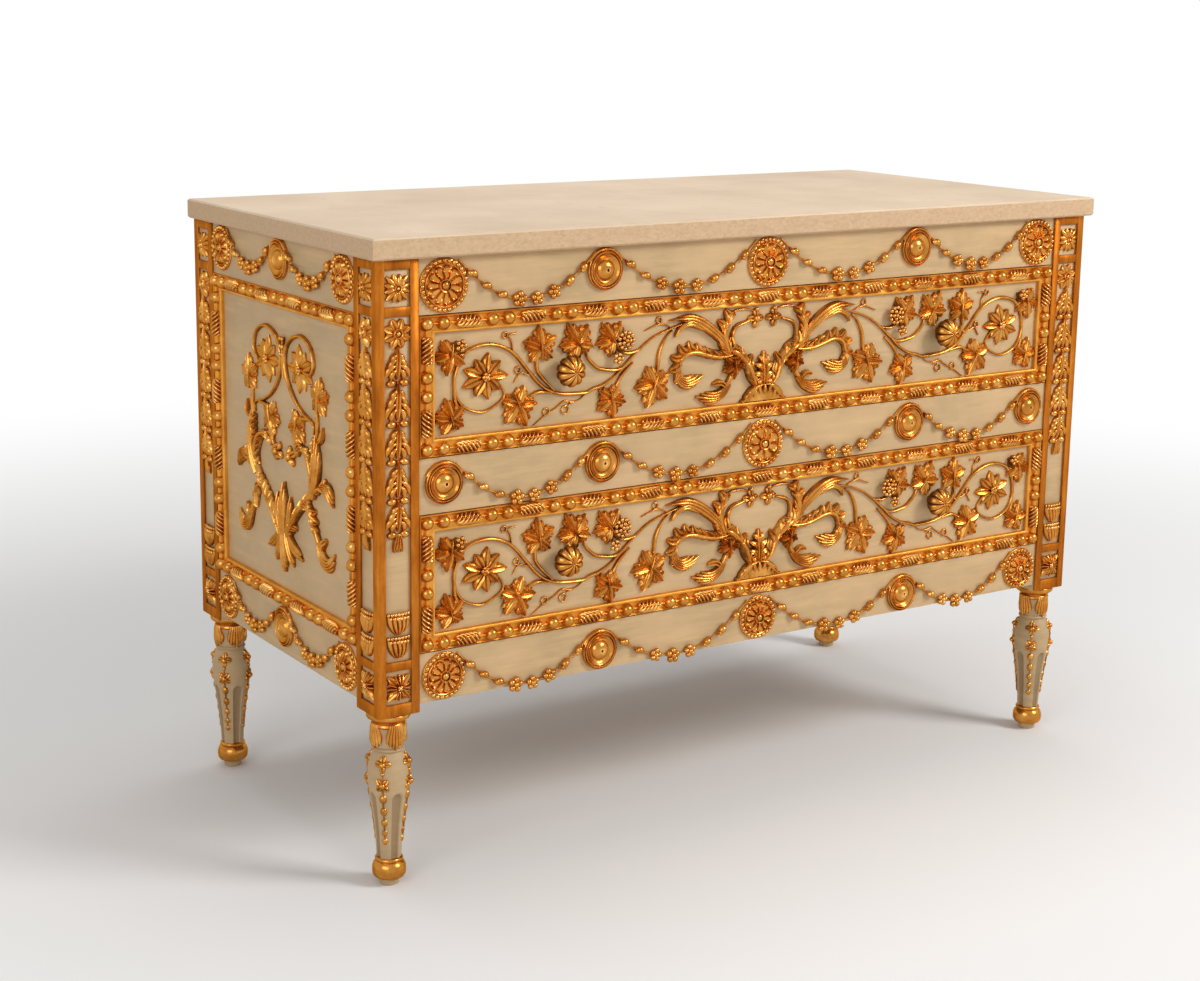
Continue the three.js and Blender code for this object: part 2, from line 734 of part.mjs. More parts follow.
function knob() {
  const centre = knobNeckHeight + knobHalfDepth;
  const foot = -drawerFrontThickness - seatGap;
  const spigotOutline = [[0, foot], [knobSpigotRadius, foot], [knobSpigotRadius, 0], [knobNeckRadius, 0],
    [knobNeckRadius, centre], [0, centre]];
  const rings = knobRingShares.map(([r, z]) => [r * knobRadius, centre + z * knobHalfDepth]);
  const melonOutline = [[0, rings[0][1]], ...rings, [0, centre + knobHalfDepth]];
  const lobeAt = (radius, ring, angle) => {
    const column = Math.round((angle * knobLobes * knobColumnsPerLobe) / (2 * Math.PI));
    return column % knobColumnsPerLobe === 0 ? radius * (1 - knobLobeDepth / knobRadius) : radius;
  };
  const melon = turned(melonOutline, evenAngles(knobLobes * knobColumnsPerLobe), lobeAt);
  return geometryOf(joined([turned(spigotOutline, evenAngles(knobSpigotSides)), melon]));
}

// One drawer with its own axes: z = 0 is the lower edge of its front
function drawer(name) {
  const group = new THREE.Group();
  const half = postInner - drawerGap;
  const outer = postInner - drawerSideInset;
  const inner = outer - drawerSideThickness;
  const fieldBack = drawerFieldFace + drawerFrontThickness;
  const boxBack = backPanelFace - drawerBackClearance;
  const sideBottom = drawerRunningGap - drawerGap;
  const sideTop = drawerHeight - drawerSideDrop;
  const bottomLow = sideBottom + drawerBottomLift;
  const bottomHigh = bottomLow + drawerBottomThickness;
  const grooveHeights = [bottomLow - grooveClearance, bottomHigh + grooveClearance];
  const grooveReach = inner + drawerGrooveDepth;
  const grooveFront = fieldBack - drawerGrooveDepth;
  const knobHeight = drawerHeight / 2 + knobAboveMiddle;
  const faceToBack = [drawerFieldFace, fieldBack];

  let front = solid(board([-half, half], faceToBack, [0, drawerHeight]));
  const frontGrooveYs = [grooveFront, fieldBack + cutOverrun];
  front = front.subtract(solid(board([-grooveReach, grooveReach], frontGrooveYs, grooveHeights)));
  const holeRadius = (knobSpigotRadius + dowelClearance) / Math.cos(Math.PI / knobSpigotSides);
  const holeEnd = drawerFrontThickness + 2 * cutOverrun;
  const holeAngles = evenAngles(knobSpigotSides);
  for (const side of [-1, 1]) {
    const hole = turned([[0, 0], [holeRadius, 0], [holeRadius, holeEnd], [0, holeEnd]], holeAngles);
    hole.rotateX(Math.PI / 2).translate(side * knobOffset, fieldBack + cutOverrun, knobHeight);
    front = front.subtract(solid(hole));
  }
  addMesh(group, `${name}_front`, geometryOf(front), cream);

  for (const side of [-1, 1]) {
    const xs = side < 0 ? [-outer, -inner] : [inner, outer];
    const grooveXs = side < 0 ? [-grooveReach, -inner + cutOverrun] : [inner - cutOverrun, grooveReach];
    const grooveYs = [fieldBack - cutOverrun, boxBack + cutOverrun];
    const body = solid(board(xs, [fieldBack, boxBack], [sideBottom, sideTop]));
    const grooved = body.subtract(solid(board(grooveXs, grooveYs, grooveHeights)));
    addMesh(group, `${name}_${side < 0 ? 'left' : 'right'}_side`, geometryOf(grooved), bareWood);
  }

  const backYs = [boxBack - drawerBackThickness, boxBack];
  const backHeights = [bottomHigh, drawerHeight - drawerBackDrop];
  addMesh(group, `${name}_back`, board([-inner, inner], backYs, backHeights), bareWood);
  const bottomReach = grooveReach - grooveClearance;
  const bottomYs = [grooveFront + grooveClearance, boxBack];
  const bottomXs = [-bottomReach, bottomReach];
  addMesh(group, `${name}_bottom`, board(bottomXs, bottomYs, [bottomLow, bottomHigh]), bareWood);

  const frame = beadFrame(2 * half, drawerHeight, drawerReelsAcross, drawerReelsUp, false);
  frame.translate(0, drawerHeight / 2, 0);
  onFront(addMesh(group, `${name}_bead_frame`, frame, gilt), drawerFieldFace);

  const fieldHalf = half - frameWidth - carvingMargin;
  const fieldHeight = drawerHeight - 2 * (frameWidth + carvingMargin);
  const vine = drawerCarving(fieldHalf, fieldHeight).translate(0, frameWidth + carvingMargin, 0);
  onFront(addMesh(group, `${name}_carving`, vine, gilt), drawerFieldFace);

  for (const side of [-1, 1]) {
    const mesh = addMesh(group, `${name}_${side < 0 ? 'left' : 'right'}_knob`, knob(), gilt);
    onFront(mesh, drawerFieldFace);
    mesh.position.x = side * knobOffset;
    mesh.position.z = knobHeight;
  }
  return group;
}

// The case between its posts
function carcass() {
  const group = new THREE.Group();
  addMesh(group, 'stone_top', stoneTop(), stone);

  for (const side of [-1, 1]) {
    const hand = side < 0 ? 'left' : 'right';
    for (const inFront of [true, false]) {
      const end = inFront ? 'front' : 'back';
      addMesh(group, `post_${end}_${hand}`, post(side, inFront), gilt);
      const mesh = addMesh(group, `leg_${end}_${hand}`, leg(), cream);
      const y = inFront ? postFront + postSize / 2 : postBack - postSize / 2;
      mesh.position.set(side * (postOuter - postSize / 2), y, 0);
    }
  }

  const between = [-postInner, postInner];
  const railYs = [frontRailFace, frontRailBack];
  addMesh(group, 'front_top_rail', board(between, railYs, [topRailBottom, postTop]), cream);
  addMesh(group, 'front_middle_rail', board(between, railYs, [middleRailBottom, middleRailTop]), cream);
  addMesh(group, 'front_bottom_rail', board(between, railYs, [railsBottom, bottomRailTop]), cream);
  const backYs = [backPanelFace, backPanelFace + backPanelThickness];
  addMesh(group, 'back_panel', board(between, backYs, [railsBottom, postTop]), bareWood);

  const endYs = [postFrontInner, postBackInner];
  for (const side of [-1, 1]) {
    const hand = side < 0 ? 'left' : 'right';
    const facing = (back, face) => (side < 0 ? [-face, -back] : [back, face]);
    const railXs = facing(endRailBack, endRailFace);
    addMesh(group, `${hand}_top_rail`, board(railXs, endYs, [topRailBottom, postTop]), cream);
    addMesh(group, `${hand}_bottom_rail`, board(railXs, endYs, [railsBottom, sideBottomRailTop]), cream);
    const panelXs = facing(endPanelFace - sidePanelThickness, endPanelFace);
    addMesh(group, `${hand}_end_panel`, board(panelXs, endYs, [sideBottomRailTop, topRailBottom]), cream);
    const stripXs = facing(runnerInner, postInner);
    const stripYs = [frontRailBack, backPanelFace];
    const strips = [
      ['upper_runner', middleRailTop - runnerHeight, middleRailTop],
      ['lower_runner', bottomRailTop - runnerHeight, bottomRailTop],
      ['upper_kicker', topRailBottom, topRailBottom + kickerHeight],
      ['lower_kicker', middleRailBottom, middleRailBottom + kickerHeight],
    ];
    for (const [name, low, high] of strips) {
      addMesh(group, `${hand}_${name}`, board(stripXs, stripYs, [low, high]), bareWood);
    }
    group.add(endOrnament(side, hand, endYs));
  }

  const dustXs = [-runnerInner, runnerInner];
  const dustYs = [frontRailBack, backPanelFace];
  const dustHeights = [middleRailTop - runnerHeight, middleRailTop - runnerHeight + dustBoardThickness];
  addMesh(group, 'dust_board', board(dustXs, dustYs, dustHeights), bareWood);
  const bottomHeights = [bottomRailTop - runnerHeight, bottomRailTop - runnerHeight + dustBoardThickness];
  addMesh(group, 'bottom_board', board(dustXs, dustYs, bottomHeights), bareWood);

  addFrontGarlands(group);
  return group;
}

const frontGarlandShares = [-0.935, -0.493, 0, 0.493, 0.935];
const endGarlandShares = [-0.85, 0, 0.85];

function addFrontGarlands(group) {
  const [big, small, round] = [largeRosetteRadius, smallRosetteRadius, roundelRadius];
  const rosettesOutside = ['rosette', 'roundel', 'rosette', 'roundel', 'rosette'];
  const roundelsOutside = ['roundel', 'roundel', 'rosette', 'roundel', 'roundel'];
  const rows = [
    ['top', [topRailBottom, postTop], [big, round, big, round, big], rosettesOutside],
    ['middle', [middleRailBottom, middleRailTop], [round, round, big, round, round], roundelsOutside],
    ['bottom', [railsBottom, bottomRailTop], [small, round, small, round, small], rosettesOutside],
  ];
  for (const [row, heights, radii, kinds] of rows) {
    const name = `front_${row}_garland`;
    const geometry = frontGarland(heights, frontGarlandShares, radii, kinds);
    onFront(addMesh(group, name, geometry, gilt), frontRailFace);
  }
}

// Bead frame, vine and garlands of one end of the case
function endOrnament(side, hand, [yFront, yBack]) {
  const holder = new THREE.Group();
  const middle = (yFront + yBack) / 2;
  const width = yBack - yFront - 2 * seatGap;
  const height = topRailBottom - sideBottomRailTop - 2 * seatGap;
  const panelHolder = new THREE.Group();
  onEnd(panelHolder, side, endPanelFace, middle);
  const frame = beadFrame(width, height, endReelsAcross, endReelsUp, true);
  frame.translate(0, (topRailBottom + sideBottomRailTop) / 2, 0);
  addMesh(panelHolder, `${hand}_bead_frame`, frame, gilt).rotation.set(Math.PI / 2, 0, 0);
  const fieldBottom = sideBottomRailTop + seatGap + frameWidth + carvingMargin;
  const fieldHeight = height - 2 * (frameWidth + carvingMargin);
  const vine = endCarving(width / 2 - frameWidth - carvingMargin, fieldHeight).translate(0, fieldBottom, 0);
  addMesh(panelHolder, `${hand}_carving`, vine, gilt).rotation.set(Math.PI / 2, 0, 0);

  const railHolder = new THREE.Group();
  onEnd(railHolder, side, endRailFace, middle);
  const places = endGarlandShares.map((share) => (share * width) / 2);
  const rows = [
    [`${hand}_top_garland`, topRailBottom, postTop],
    [`${hand}_bottom_garland`, railsBottom, sideBottomRailTop],
  ];
  for (const [name, low, high] of rows) {
    const medallions = places.map((u, i) => {
      const kind = i === 1 ? 'roundel' : 'rosette';
      const radius = i === 1 ? roundelRadius : smallRosetteRadius;
      return { place: [u, high - radius - carvingMargin], radius, kind };
    });
    addMesh(railHolder, name, garland(medallions, budsPerEndSwag), gilt).rotation.set(Math.PI / 2, 0, 0);
  }
  holder.add(panelHolder, railHolder);
  return holder;
}

const commode = new THREE.Group();
commode.position.y = originShift;
commode.add(carcass());
const lowerDrawer = drawer('lower_drawer');
lowerDrawer.position.z = bottomRailTop + drawerGap;
const upperDrawer = drawer('upper_drawer');
upperDrawer.position.z = middleRailTop + drawerGap;
commode.add(lowerDrawer, upperDrawer);

export default commode;
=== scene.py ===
import math

import bpy
import numpy as np
from mathutils import Matrix, Vector


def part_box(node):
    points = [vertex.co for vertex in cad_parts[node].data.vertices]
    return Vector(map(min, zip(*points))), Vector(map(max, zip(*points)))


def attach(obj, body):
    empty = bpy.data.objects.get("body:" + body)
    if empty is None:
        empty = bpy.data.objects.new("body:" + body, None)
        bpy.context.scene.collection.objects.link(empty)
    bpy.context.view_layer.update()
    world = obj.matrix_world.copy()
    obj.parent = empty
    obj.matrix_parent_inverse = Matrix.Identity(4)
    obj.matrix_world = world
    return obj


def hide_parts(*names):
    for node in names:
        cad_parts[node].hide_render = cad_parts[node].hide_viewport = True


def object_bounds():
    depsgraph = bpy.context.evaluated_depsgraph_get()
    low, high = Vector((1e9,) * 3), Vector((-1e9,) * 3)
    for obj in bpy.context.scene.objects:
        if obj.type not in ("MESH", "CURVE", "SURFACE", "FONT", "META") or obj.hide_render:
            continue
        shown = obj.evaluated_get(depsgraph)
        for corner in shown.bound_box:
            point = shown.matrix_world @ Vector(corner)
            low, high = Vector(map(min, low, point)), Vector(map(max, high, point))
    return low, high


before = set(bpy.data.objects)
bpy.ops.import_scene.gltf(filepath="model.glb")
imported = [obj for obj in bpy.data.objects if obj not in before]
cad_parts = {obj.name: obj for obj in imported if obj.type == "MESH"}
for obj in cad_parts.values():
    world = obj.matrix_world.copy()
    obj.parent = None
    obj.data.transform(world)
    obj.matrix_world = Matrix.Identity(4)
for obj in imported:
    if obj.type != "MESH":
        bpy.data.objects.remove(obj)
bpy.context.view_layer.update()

# The commode's carving, gilding, paint and stone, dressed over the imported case.
# Ornament is drawn in millimetres on flat grounds: u runs along a face, v up and w out of it.

MM = 0.001
DRAWERS = ("upper_drawer", "lower_drawer")
HANDS = ((-1, "left"), (1, "right"))

# Attribute that tells crests from hollows, and the radius of a curve, in metres, that is a full crest
RELIEF = "relief"
RELIEF_REACH = 2.2 * MM

# Dark glaze and painted shade in the hollows, in millimetres: the depth where they start, how much
# further down they are full, and the width of the cells in which the depth is found
SHADE_AND_GLAZE_START = 0.8
SHADE_AND_GLAZE_DEPTH = 6
HOLLOW_CELL = 2.2
# How far full glaze and painted shade lower the attribute, and the share of it that shallow carving gets
SHADE_AND_GLAZE_SHARE = 0.42
LIGHT_SHADE_AND_GLAZE = 0.28

# Angle between faces, in degrees, above which an arris stays sharp
SHARP_DEGREES = 48


def corners(node):
    """The lowest and the highest corner of a node of the case, in millimetres."""
    return [np.array(end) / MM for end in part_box(node)]


def middle(node):
    low, high = corners(node)
    return (low + high) / 2


# Photograph's camera, fitted to the case's edges
IMAGE_WIDTH_PX = 1200
IMAGE_HEIGHT_PX = 981
FOCAL_PX = 2081.567
AXIS_PX = (573.486, 413.819)
EYE = (-1.94467, -2.74913, 1.24879)
YAW = 0.576684
PITCH = 0.197298
ROLL = 0.0124513

# Sizes of the ornament, in millimetres
SEAT = 0.3
FRAME_WIDTH = 25
LIP_HEIGHT = 7.4
CHANNEL_HEIGHT = 4.2
BEAD_RADIUS = 9.4
BEAD_CROWN = 17
BEAD_PAIR = 26.5
BEAD_INSET = 11
REEL_LENGTH = 39
REEL_RADIUS = 8.8
STEM_WIDTH = 5.6
STEM_HEIGHT = 5
LEAF_HEIGHT = 8.5
SCROLL_STEPS = 80
LEAFLETS_START = 0.03
LEAFLETS_END = 0.95
DAISY_REACH = 36
BERRY_RADIUS = 3.5
SWAG_LIFT = 2.2
STRING_RADIUS = 1.5
KNOB_RADIUS = 22.5
KNOB_DEPTH = 32
KNOB_NECK = 3.5
KNOB_LOBES = 10
POST_SIZE = 66
POST_BAND = 13
POST_SINK = 4
EASE = 0.6


def add_node(tree, kind, links=(), **settings):
    """A node with its settings, and its inputs linked or set by name or place. A node given for
    an input stands for its first output."""
    node = tree.nodes.new(kind)
    for name, value in settings.items():
        setattr(node, name, value)
    for name, value in dict(links).items():
        if isinstance(value, bpy.types.Node):
            value = value.outputs[0]
        if isinstance(value, bpy.types.NodeSocket):
            tree.links.new(value, node.inputs[name])
        else:
            node.inputs[name].default_value = value
    return node


def new_finish(name):
    """An empty material with its shader, and object coordinates for its patterns."""
    material = bpy.data.materials.new(name)
    material.use_nodes = True
    tree = material.node_tree
    shader = tree.nodes["Principled BSDF"]
    place = add_node(tree, "ShaderNodeTexCoord").outputs["Object"]
    return material, tree, shader, place


def noise(tree, place, scale, detail, rough, stretch=(1, 1, 1)):
    """Noise on object coordinates, drawn out along an axis where stretch is below 1."""
    mapped = add_node(tree, "ShaderNodeMapping", {"Vector": place, "Scale": stretch})
    found = add_node(tree, "ShaderNodeTexNoise", {
        "Vector": mapped, "Scale": scale, "Detail": detail, "Roughness": rough})
    return found.outputs["Fac"]


def ramp(tree, value, stops):
    """A number turned into colours or greys by stops of place and colour."""
    node = add_node(tree, "ShaderNodeValToRGB", {"Fac": value})
    scale = node.color_ramp
    for index, (place, colour) in enumerate(stops):
        if index < 2:
            stop = scale.elements[index]
            stop.position = place
        else:
            stop = scale.elements.new(place)
        stop.color = (*colour, 1)
    return node.outputs["Color"]


def grey_ramp(tree, value, low, high, start=0.0, end=1.0):
    """A number mapped smoothly from one range to another."""
    node = add_node(tree, "ShaderNodeMapRange", {
        "Value": value, "From Min": low, "From Max": high, "To Min": start, "To Max": end},
        interpolation_type="SMOOTHSTEP")
    return node.outputs["Result"]


def blend(tree, share, first, second):
    """Two colours mixed by a share."""
    node = add_node(tree, "ShaderNodeMix", data_type="RGBA")
    colours = [socket for socket in node.inputs if socket.type == "RGBA"]
    for socket, value in [(node.inputs[0], share), (colours[0], first), (colours[1], second)]:
        if isinstance(value, bpy.types.NodeSocket):
            tree.links.new(value, socket)
        elif socket.type == "RGBA":
            socket.default_value = (*value, 1)
        else:
            socket.default_value = value
    return [socket for socket in node.outputs if socket.type == "RGBA"][0]


def reckon(tree, way, first, second=0.0):
    """One sum on two numbers."""
    node = add_node(tree, "ShaderNodeMath", {0: first, 1: second}, operation=way)
    return node.outputs[0]


def times(tree, first, second):
    return reckon(tree, "MULTIPLY", first, second)


def plus(tree, first, second):
    return reckon(tree, "ADD", first, second)


def relief_of(tree):
    """The relief written on a piece's points."""
    return add_node(tree, "ShaderNodeAttribute", attribute_name=RELIEF).outputs["Fac"]


def finish_surface(tree, shader, colour, rough, height, strength, distance):
    """Gives a shader its colour and roughness, and a fine relief of the given height."""
    tree.links.new(colour, shader.inputs["Base Color"])
    tree.links.new(rough, shader.inputs["Roughness"])
    bump = add_node(tree, "ShaderNodeBump", {
        "Height": height, "Strength": strength, "Distance": distance})
    tree.links.new(bump.outputs[0], shader.inputs["Normal"])


# Finishes

# Colour of gilding where it is seen at a grazing angle
GOLD_TINT = (0.9, 0.6, 0.28, 1)


def gilding(name, lift=1.0, rub=0.5, shine=0.0):
    """Burnished water gilding, rubbed to red bole on its crests, with a painted highlight on its crests and
    dark glaze and painted shade in its hollows.
    """
    material, tree, shader, place = new_finish(name)
    cloud = noise(tree, place, 38, 5, 0.65)
    grain = noise(tree, place, 420, 3, 0.7)
    uneven = plus(tree, relief_of(tree), times(tree, reckon(tree, "SUBTRACT", cloud, 0.5), 0.5))
    gold = ramp(tree, cloud, [
        (0.3, (0.46 * lift, 0.17 * lift, 0.026 * lift)),
        (0.52, (0.63 * lift, 0.27 * lift, 0.05 * lift)),
        (0.72, (0.76 * lift, 0.38 * lift, 0.095 * lift))])
    # Crests are painted towards a pale gold: a painted highlight over the burnish
    crest = times(tree, grey_ramp(tree, uneven, 0.56, 0.86), 0.7)
    burnished_and_highlit = blend(tree, crest, gold, (1.0, 0.65, 0.23))
    bole = blend(tree, grey_ramp(tree, grain, 0.45, 0.7), (0.36, 0.11, 0.03), (0.55, 0.22, 0.06))
    rubbed = times(tree, grey_ramp(tree, uneven, 0.72, 0.95), grey_ramp(tree, grain, 0.5, 0.64))
    worn = blend(tree, times(tree, rubbed, rub), burnished_and_highlit, bole)
    # Hollows are painted dark brown, less metallic and rougher: a glaze, and painted shade where the carving
    # lies deep or curves in
    shade_and_glaze = grey_ramp(tree, uneven, 0.44, 0.12)
    colour = blend(tree, times(tree, shade_and_glaze, 0.88), worn, (0.085, 0.032, 0.01))
    tree.links.new(grey_ramp(tree, shade_and_glaze, 0, 1, 0.92, 0.7), shader.inputs["Metallic"])
    rough = plus(tree, grey_ramp(tree, shade_and_glaze, 0, 1, 0.21 - shine, 0.6),
                 grey_ramp(tree, grain, 0.3, 0.8, -0.04, 0.1))
    height = plus(tree, times(tree, grain, 0.35), noise(tree, place, 130, 2, 0.5))
    finish_surface(tree, shader, colour, rough, height, 0.22, 0.0012)
    shader.inputs["Specular Tint"].default_value = GOLD_TINT
    return material


def channel_gilding(name):
    """Bright matte gilding in the smooth channels of the frames."""
    material, tree, shader, place = new_finish(name)
    cloud = noise(tree, place, 24, 5, 0.65)
    grain = noise(tree, place, 300, 4, 0.75)
    gold = ramp(tree, cloud, [
        (0.3, (0.56, 0.21, 0.024)),
        (0.5, (0.74, 0.325, 0.046)),
        (0.7, (0.87, 0.44, 0.085))])
    thin = times(tree, grey_ramp(tree, grain, 0.58, 0.72), grey_ramp(tree, cloud, 0.6, 0.42))
    colour = blend(tree, times(tree, thin, 0.6), gold, (0.30, 0.10, 0.03))
    shader.inputs["Metallic"].default_value = 0.7
    finish_surface(tree, shader, colour, grey_ramp(tree, grain, 0.2, 0.8, 0.36, 0.5), grain, 0.2, 0.0008)
    shader.inputs["Specular Tint"].default_value = GOLD_TINT
    return material


def band_gilding(name):
    """Matte oil gilding on the flat bands of the posts, brushed up and down and thin in places."""
    material, tree, shader, place = new_finish(name)
    streak = noise(tree, place, 60, 6, 0.7, (1, 1, 0.09))
    cloud = noise(tree, place, 17, 4, 0.6)
    patch = noise(tree, place, 34, 5, 0.7, (1, 1, 0.3))
    tone = plus(tree, times(tree, streak, 0.45), times(tree, patch, 0.55))
    gold = ramp(tree, tone, [
        (0.36, (0.29, 0.075, 0.006)),
        (0.5, (0.47, 0.14, 0.012)),
        (0.64, (0.66, 0.24, 0.03))])
    spots = noise(tree, place, 210, 4, 0.8, (1, 1, 0.35))
    thin = times(tree, grey_ramp(tree, spots, 0.62, 0.74), grey_ramp(tree, cloud, 0.42, 0.62))
    colour = blend(tree, times(tree, thin, 0.6), gold, (0.16, 0.06, 0.02))
    shader.inputs["Metallic"].default_value = 0.85
    finish_surface(tree, shader, colour, grey_ramp(tree, streak, 0.2, 0.8, 0.6, 0.48), streak, 0.25, 0.0008)
    shader.inputs["Specular Tint"].default_value = GOLD_TINT
    return material


def cream_paint(name, tint=(0.585, 0.39, 0.195), stained_and_shaded=False):
    """Old grey-cream paint, brushed along and flecked. A stained one is brown in its hollows: a stain, and
    painted shade where they lie deep.
    """
    material, tree, shader, place = new_finish(name)
    brush = noise(tree, place, 70, 6, 0.65, (0.12, 0.12, 1))
    cloud = noise(tree, place, 7, 5, 0.6)
    speck = noise(tree, place, 260, 5, 0.75)
    pale = tuple(min(1, value * 1.12) for value in tint)
    dull = (tint[0] * 0.82, tint[1] * 0.83, tint[2] * 0.80)
    base = blend(tree, grey_ramp(tree, cloud, 0.32, 0.68), dull, tint)
    body = blend(tree, grey_ramp(tree, brush, 0.4, 0.72, 0, 0.75), base, pale)
    fleck = times(tree, grey_ramp(tree, speck, 0.66, 0.74), grey_ramp(tree, cloud, 0.5, 0.62))
    colour = blend(tree, times(tree, fleck, 0.5), body, (0.16, 0.11, 0.06))
    if stained_and_shaded:
        # Brown in the hollows: a stain, with painted shade where the flutes and carving lie deep
        hollow = grey_ramp(tree, plus(tree, relief_of(tree), times(tree, cloud, 0.2)), 0.62, 0.25)
        colour = blend(tree, times(tree, hollow, 0.55), colour, (0.17, 0.095, 0.04))
    finish_surface(tree, shader, colour, grey_ramp(tree, brush, 0.3, 0.7, 0.48, 0.62), brush, 0.18, 0.0006)
    return material


def limestone(name):
    """Honed beige limestone: fossil flecks and pits on its top; its edges rougher, and darker and browner
    than its top.
    """
    material, tree, shader, place = new_finish(name)
    cloud = noise(tree, place, 5, 6, 0.62)
    grit = noise(tree, place, 230, 5, 0.75, (0.6, 1, 1))
    fossil = noise(tree, place, 62, 4, 0.7, (0.55, 1, 1))
    normal = add_node(tree, "ShaderNodeNewGeometry").outputs["Normal"]
    facing = add_node(tree, "ShaderNodeSeparateXYZ", {0: normal})
    edge = grey_ramp(tree, facing.outputs["Z"], 0.75, 0.3)
    top = ramp(tree, cloud, [
        (0.3, (0.635, 0.47, 0.31)),
        (0.52, (0.71, 0.54, 0.37)),
        (0.72, (0.775, 0.615, 0.435))])
    flecked = blend(tree, grey_ramp(tree, fossil, 0.6, 0.7, 0, 0.4), top, (0.50, 0.37, 0.24))
    pitted = blend(tree, grey_ramp(tree, grit, 0.67, 0.76, 0, 0.5), flecked, (0.30, 0.20, 0.12))
    # Faces that do not look up are coloured darker and browner than the top
    edge_tone = ramp(tree, grit, [
        (0.28, (0.50, 0.325, 0.185)),
        (0.5, (0.60, 0.405, 0.24)),
        (0.7, (0.66, 0.465, 0.29))])
    shader.inputs["Specular IOR Level"].default_value = 0.25
    depth = times(tree, grit, grey_ramp(tree, edge, 0, 1, 0.12, 1))
    rough = grey_ramp(tree, edge, 0, 1, 0.46, 0.7)
    finish_surface(tree, shader, blend(tree, edge, pitted, edge_tone), rough, depth, 0.3, 0.0006)
    return material


def bare_wood(name, grain):
    """Plain seasoned softwood inside the case. grain is short along the fibres of the boards."""
    material, tree, shader, place = new_finish(name)
    board = noise(tree, place, 5, 3, 0.5, grain)
    ring = noise(tree, place, 75, 6, 0.66, grain)
    pore = noise(tree, place, 420, 4, 0.7, grain)
    mixed = plus(tree, times(tree, ring, 0.7), times(tree, board, 0.3))
    wood = ramp(tree, mixed, [
        (0.36, (0.28, 0.16, 0.075)),
        (0.5, (0.40, 0.245, 0.12)),
        (0.62, (0.50, 0.325, 0.17))])
    colour = blend(tree, grey_ramp(tree, pore, 0.56, 0.7, 0, 0.5), wood, (0.17, 0.085, 0.036))
    finish_surface(tree, shader, colour, grey_ramp(tree, ring, 0.3, 0.7, 0.6, 0.74), pore, 0.3, 0.0006)
    return material


GILT = gilding("burnished gilding")
BEAD_GILT = gilding("rubbed gilding of the beads", 1.0, 0.6, 0.01)
CHANNEL_GILT = channel_gilding("bright gilding of the channels")
BAND = band_gilding("matte band gilding")
CREAM = cream_paint("old cream paint")
LEG_CREAM = cream_paint("old cream paint of the legs", (0.5, 0.345, 0.18), True)
STONE = limestone("honed limestone")
LONG_WOOD = bare_wood("seasoned softwood of the wide boards", (0.035, 1, 1))
DEEP_WOOD = bare_wood("seasoned softwood of the drawer sides", (1, 0.035, 1))


# Grounds and carved bodies

class Ground:
    """A flat face that carries ornament: u runs along it, v up and w out of it, in millimetres."""

    def __init__(self, origin, along, up, out):
        self.origin = np.array(origin, float)
        self.axes = np.array([along, up, out], float)

    def place(self, points):
        return (self.origin + points @ self.axes) * MM


def front_ground(face, centre=0):
    return Ground((centre, face, 0), (1, 0, 0), (0, 0, 1), (0, -1, 0))


def end_ground(side, face, centre):
    return Ground((side * face, centre, 0), (0, side, 0), (0, 0, 1), (side, 0, 0))


def drawer_ground(drawer, centre=0):
    """The ground of a drawer's ornament, a hair in front of the drawer front."""
    return front_ground(corners(f"{drawer}_front")[0][1] - SEAT, centre)


def end_middle(hand):
    return middle(f"{hand}_bead_frame")[1]


def end_panel_ground(side, hand):
    """The ground of an end's ornament, a hair outside the end panel."""
    face = abs(corners(f"{hand}_end_panel")[side > 0][0]) + SEAT
    return end_ground(side, face, end_middle(hand))


class Carving:
    """Closed bodies gathered into one piece, on one ground."""

    def __init__(self):
        self.points = []
        self.faces = []
        self.marks = []
        self.count = 0

    def add(self, points, faces, mark=0):
        points = np.array(points, float).reshape(-1, 3)
        for group in faces:
            self.faces.append(np.array(group, int) + self.count)
            self.marks.append(np.full(len(group), mark))
        self.points.append(points)
        self.count += len(points)

    def merge(self, other, mirrored=False, at=(0, 0, 0)):
        """Adds the bodies of another carving, moved, and turned left for right if mirrored."""
        flip = (-1, 1, 1) if mirrored else (1, 1, 1)
        for points in other.points:
            self.points.append(points * flip + at)
        for group, marks in zip(other.faces, other.marks):
            turned = group[:, ::-1] if mirrored else group
            self.faces.append(turned + self.count)
            self.marks.append(marks)
        self.count += other.count


def moved(carving, *at):
    copy = Carving()
    copy.merge(carving, at=at)
    return copy


def mirrored_pair(half):
    """A half of an arabesque together with its mirror image."""
    whole = moved(half, 0, 0, 0)
    whole.merge(half, True)
    return whole


def mesh_from(name, points, groups, marks, finishes, sunk=0.0):
    """A plain mesh from arrays of points and faces, smooth but for its sharp arrises."""
    mesh = bpy.data.meshes.new(name)
    loops = np.concatenate([group.ravel() for group in groups])
    sizes = np.concatenate([np.full(len(group), group.shape[1]) for group in groups])
    mesh.vertices.add(len(points))
    mesh.vertices.foreach_set("co", points.astype(np.float32).ravel())
    mesh.loops.add(len(loops))
    mesh.loops.foreach_set("vertex_index", loops.astype(np.int32))
    mesh.polygons.add(len(sizes))
    starts = np.concatenate([[0], np.cumsum(sizes)[:-1]])
    mesh.polygons.foreach_set("loop_start", starts.astype(np.int32))
    mesh.update(calc_edges=True)
    for finish in finishes:
        mesh.materials.append(finish)
    mesh.polygons.foreach_set("material_index", np.concatenate(marks).astype(np.int32))
    mesh.polygons.foreach_set("use_smooth", np.ones(len(sizes), bool))
    mesh.set_sharp_from_angle(angle=math.radians(SHARP_DEGREES))
    mark_relief(mesh, sunk)
    return mesh


def read(items, field, kind, width=1):
    """A field of a mesh's points, edges or faces, as an array."""
    values = np.empty(len(items) * width, kind)
    items.foreach_get(field, values)
    return values.reshape(-1, width) if width > 1 else values


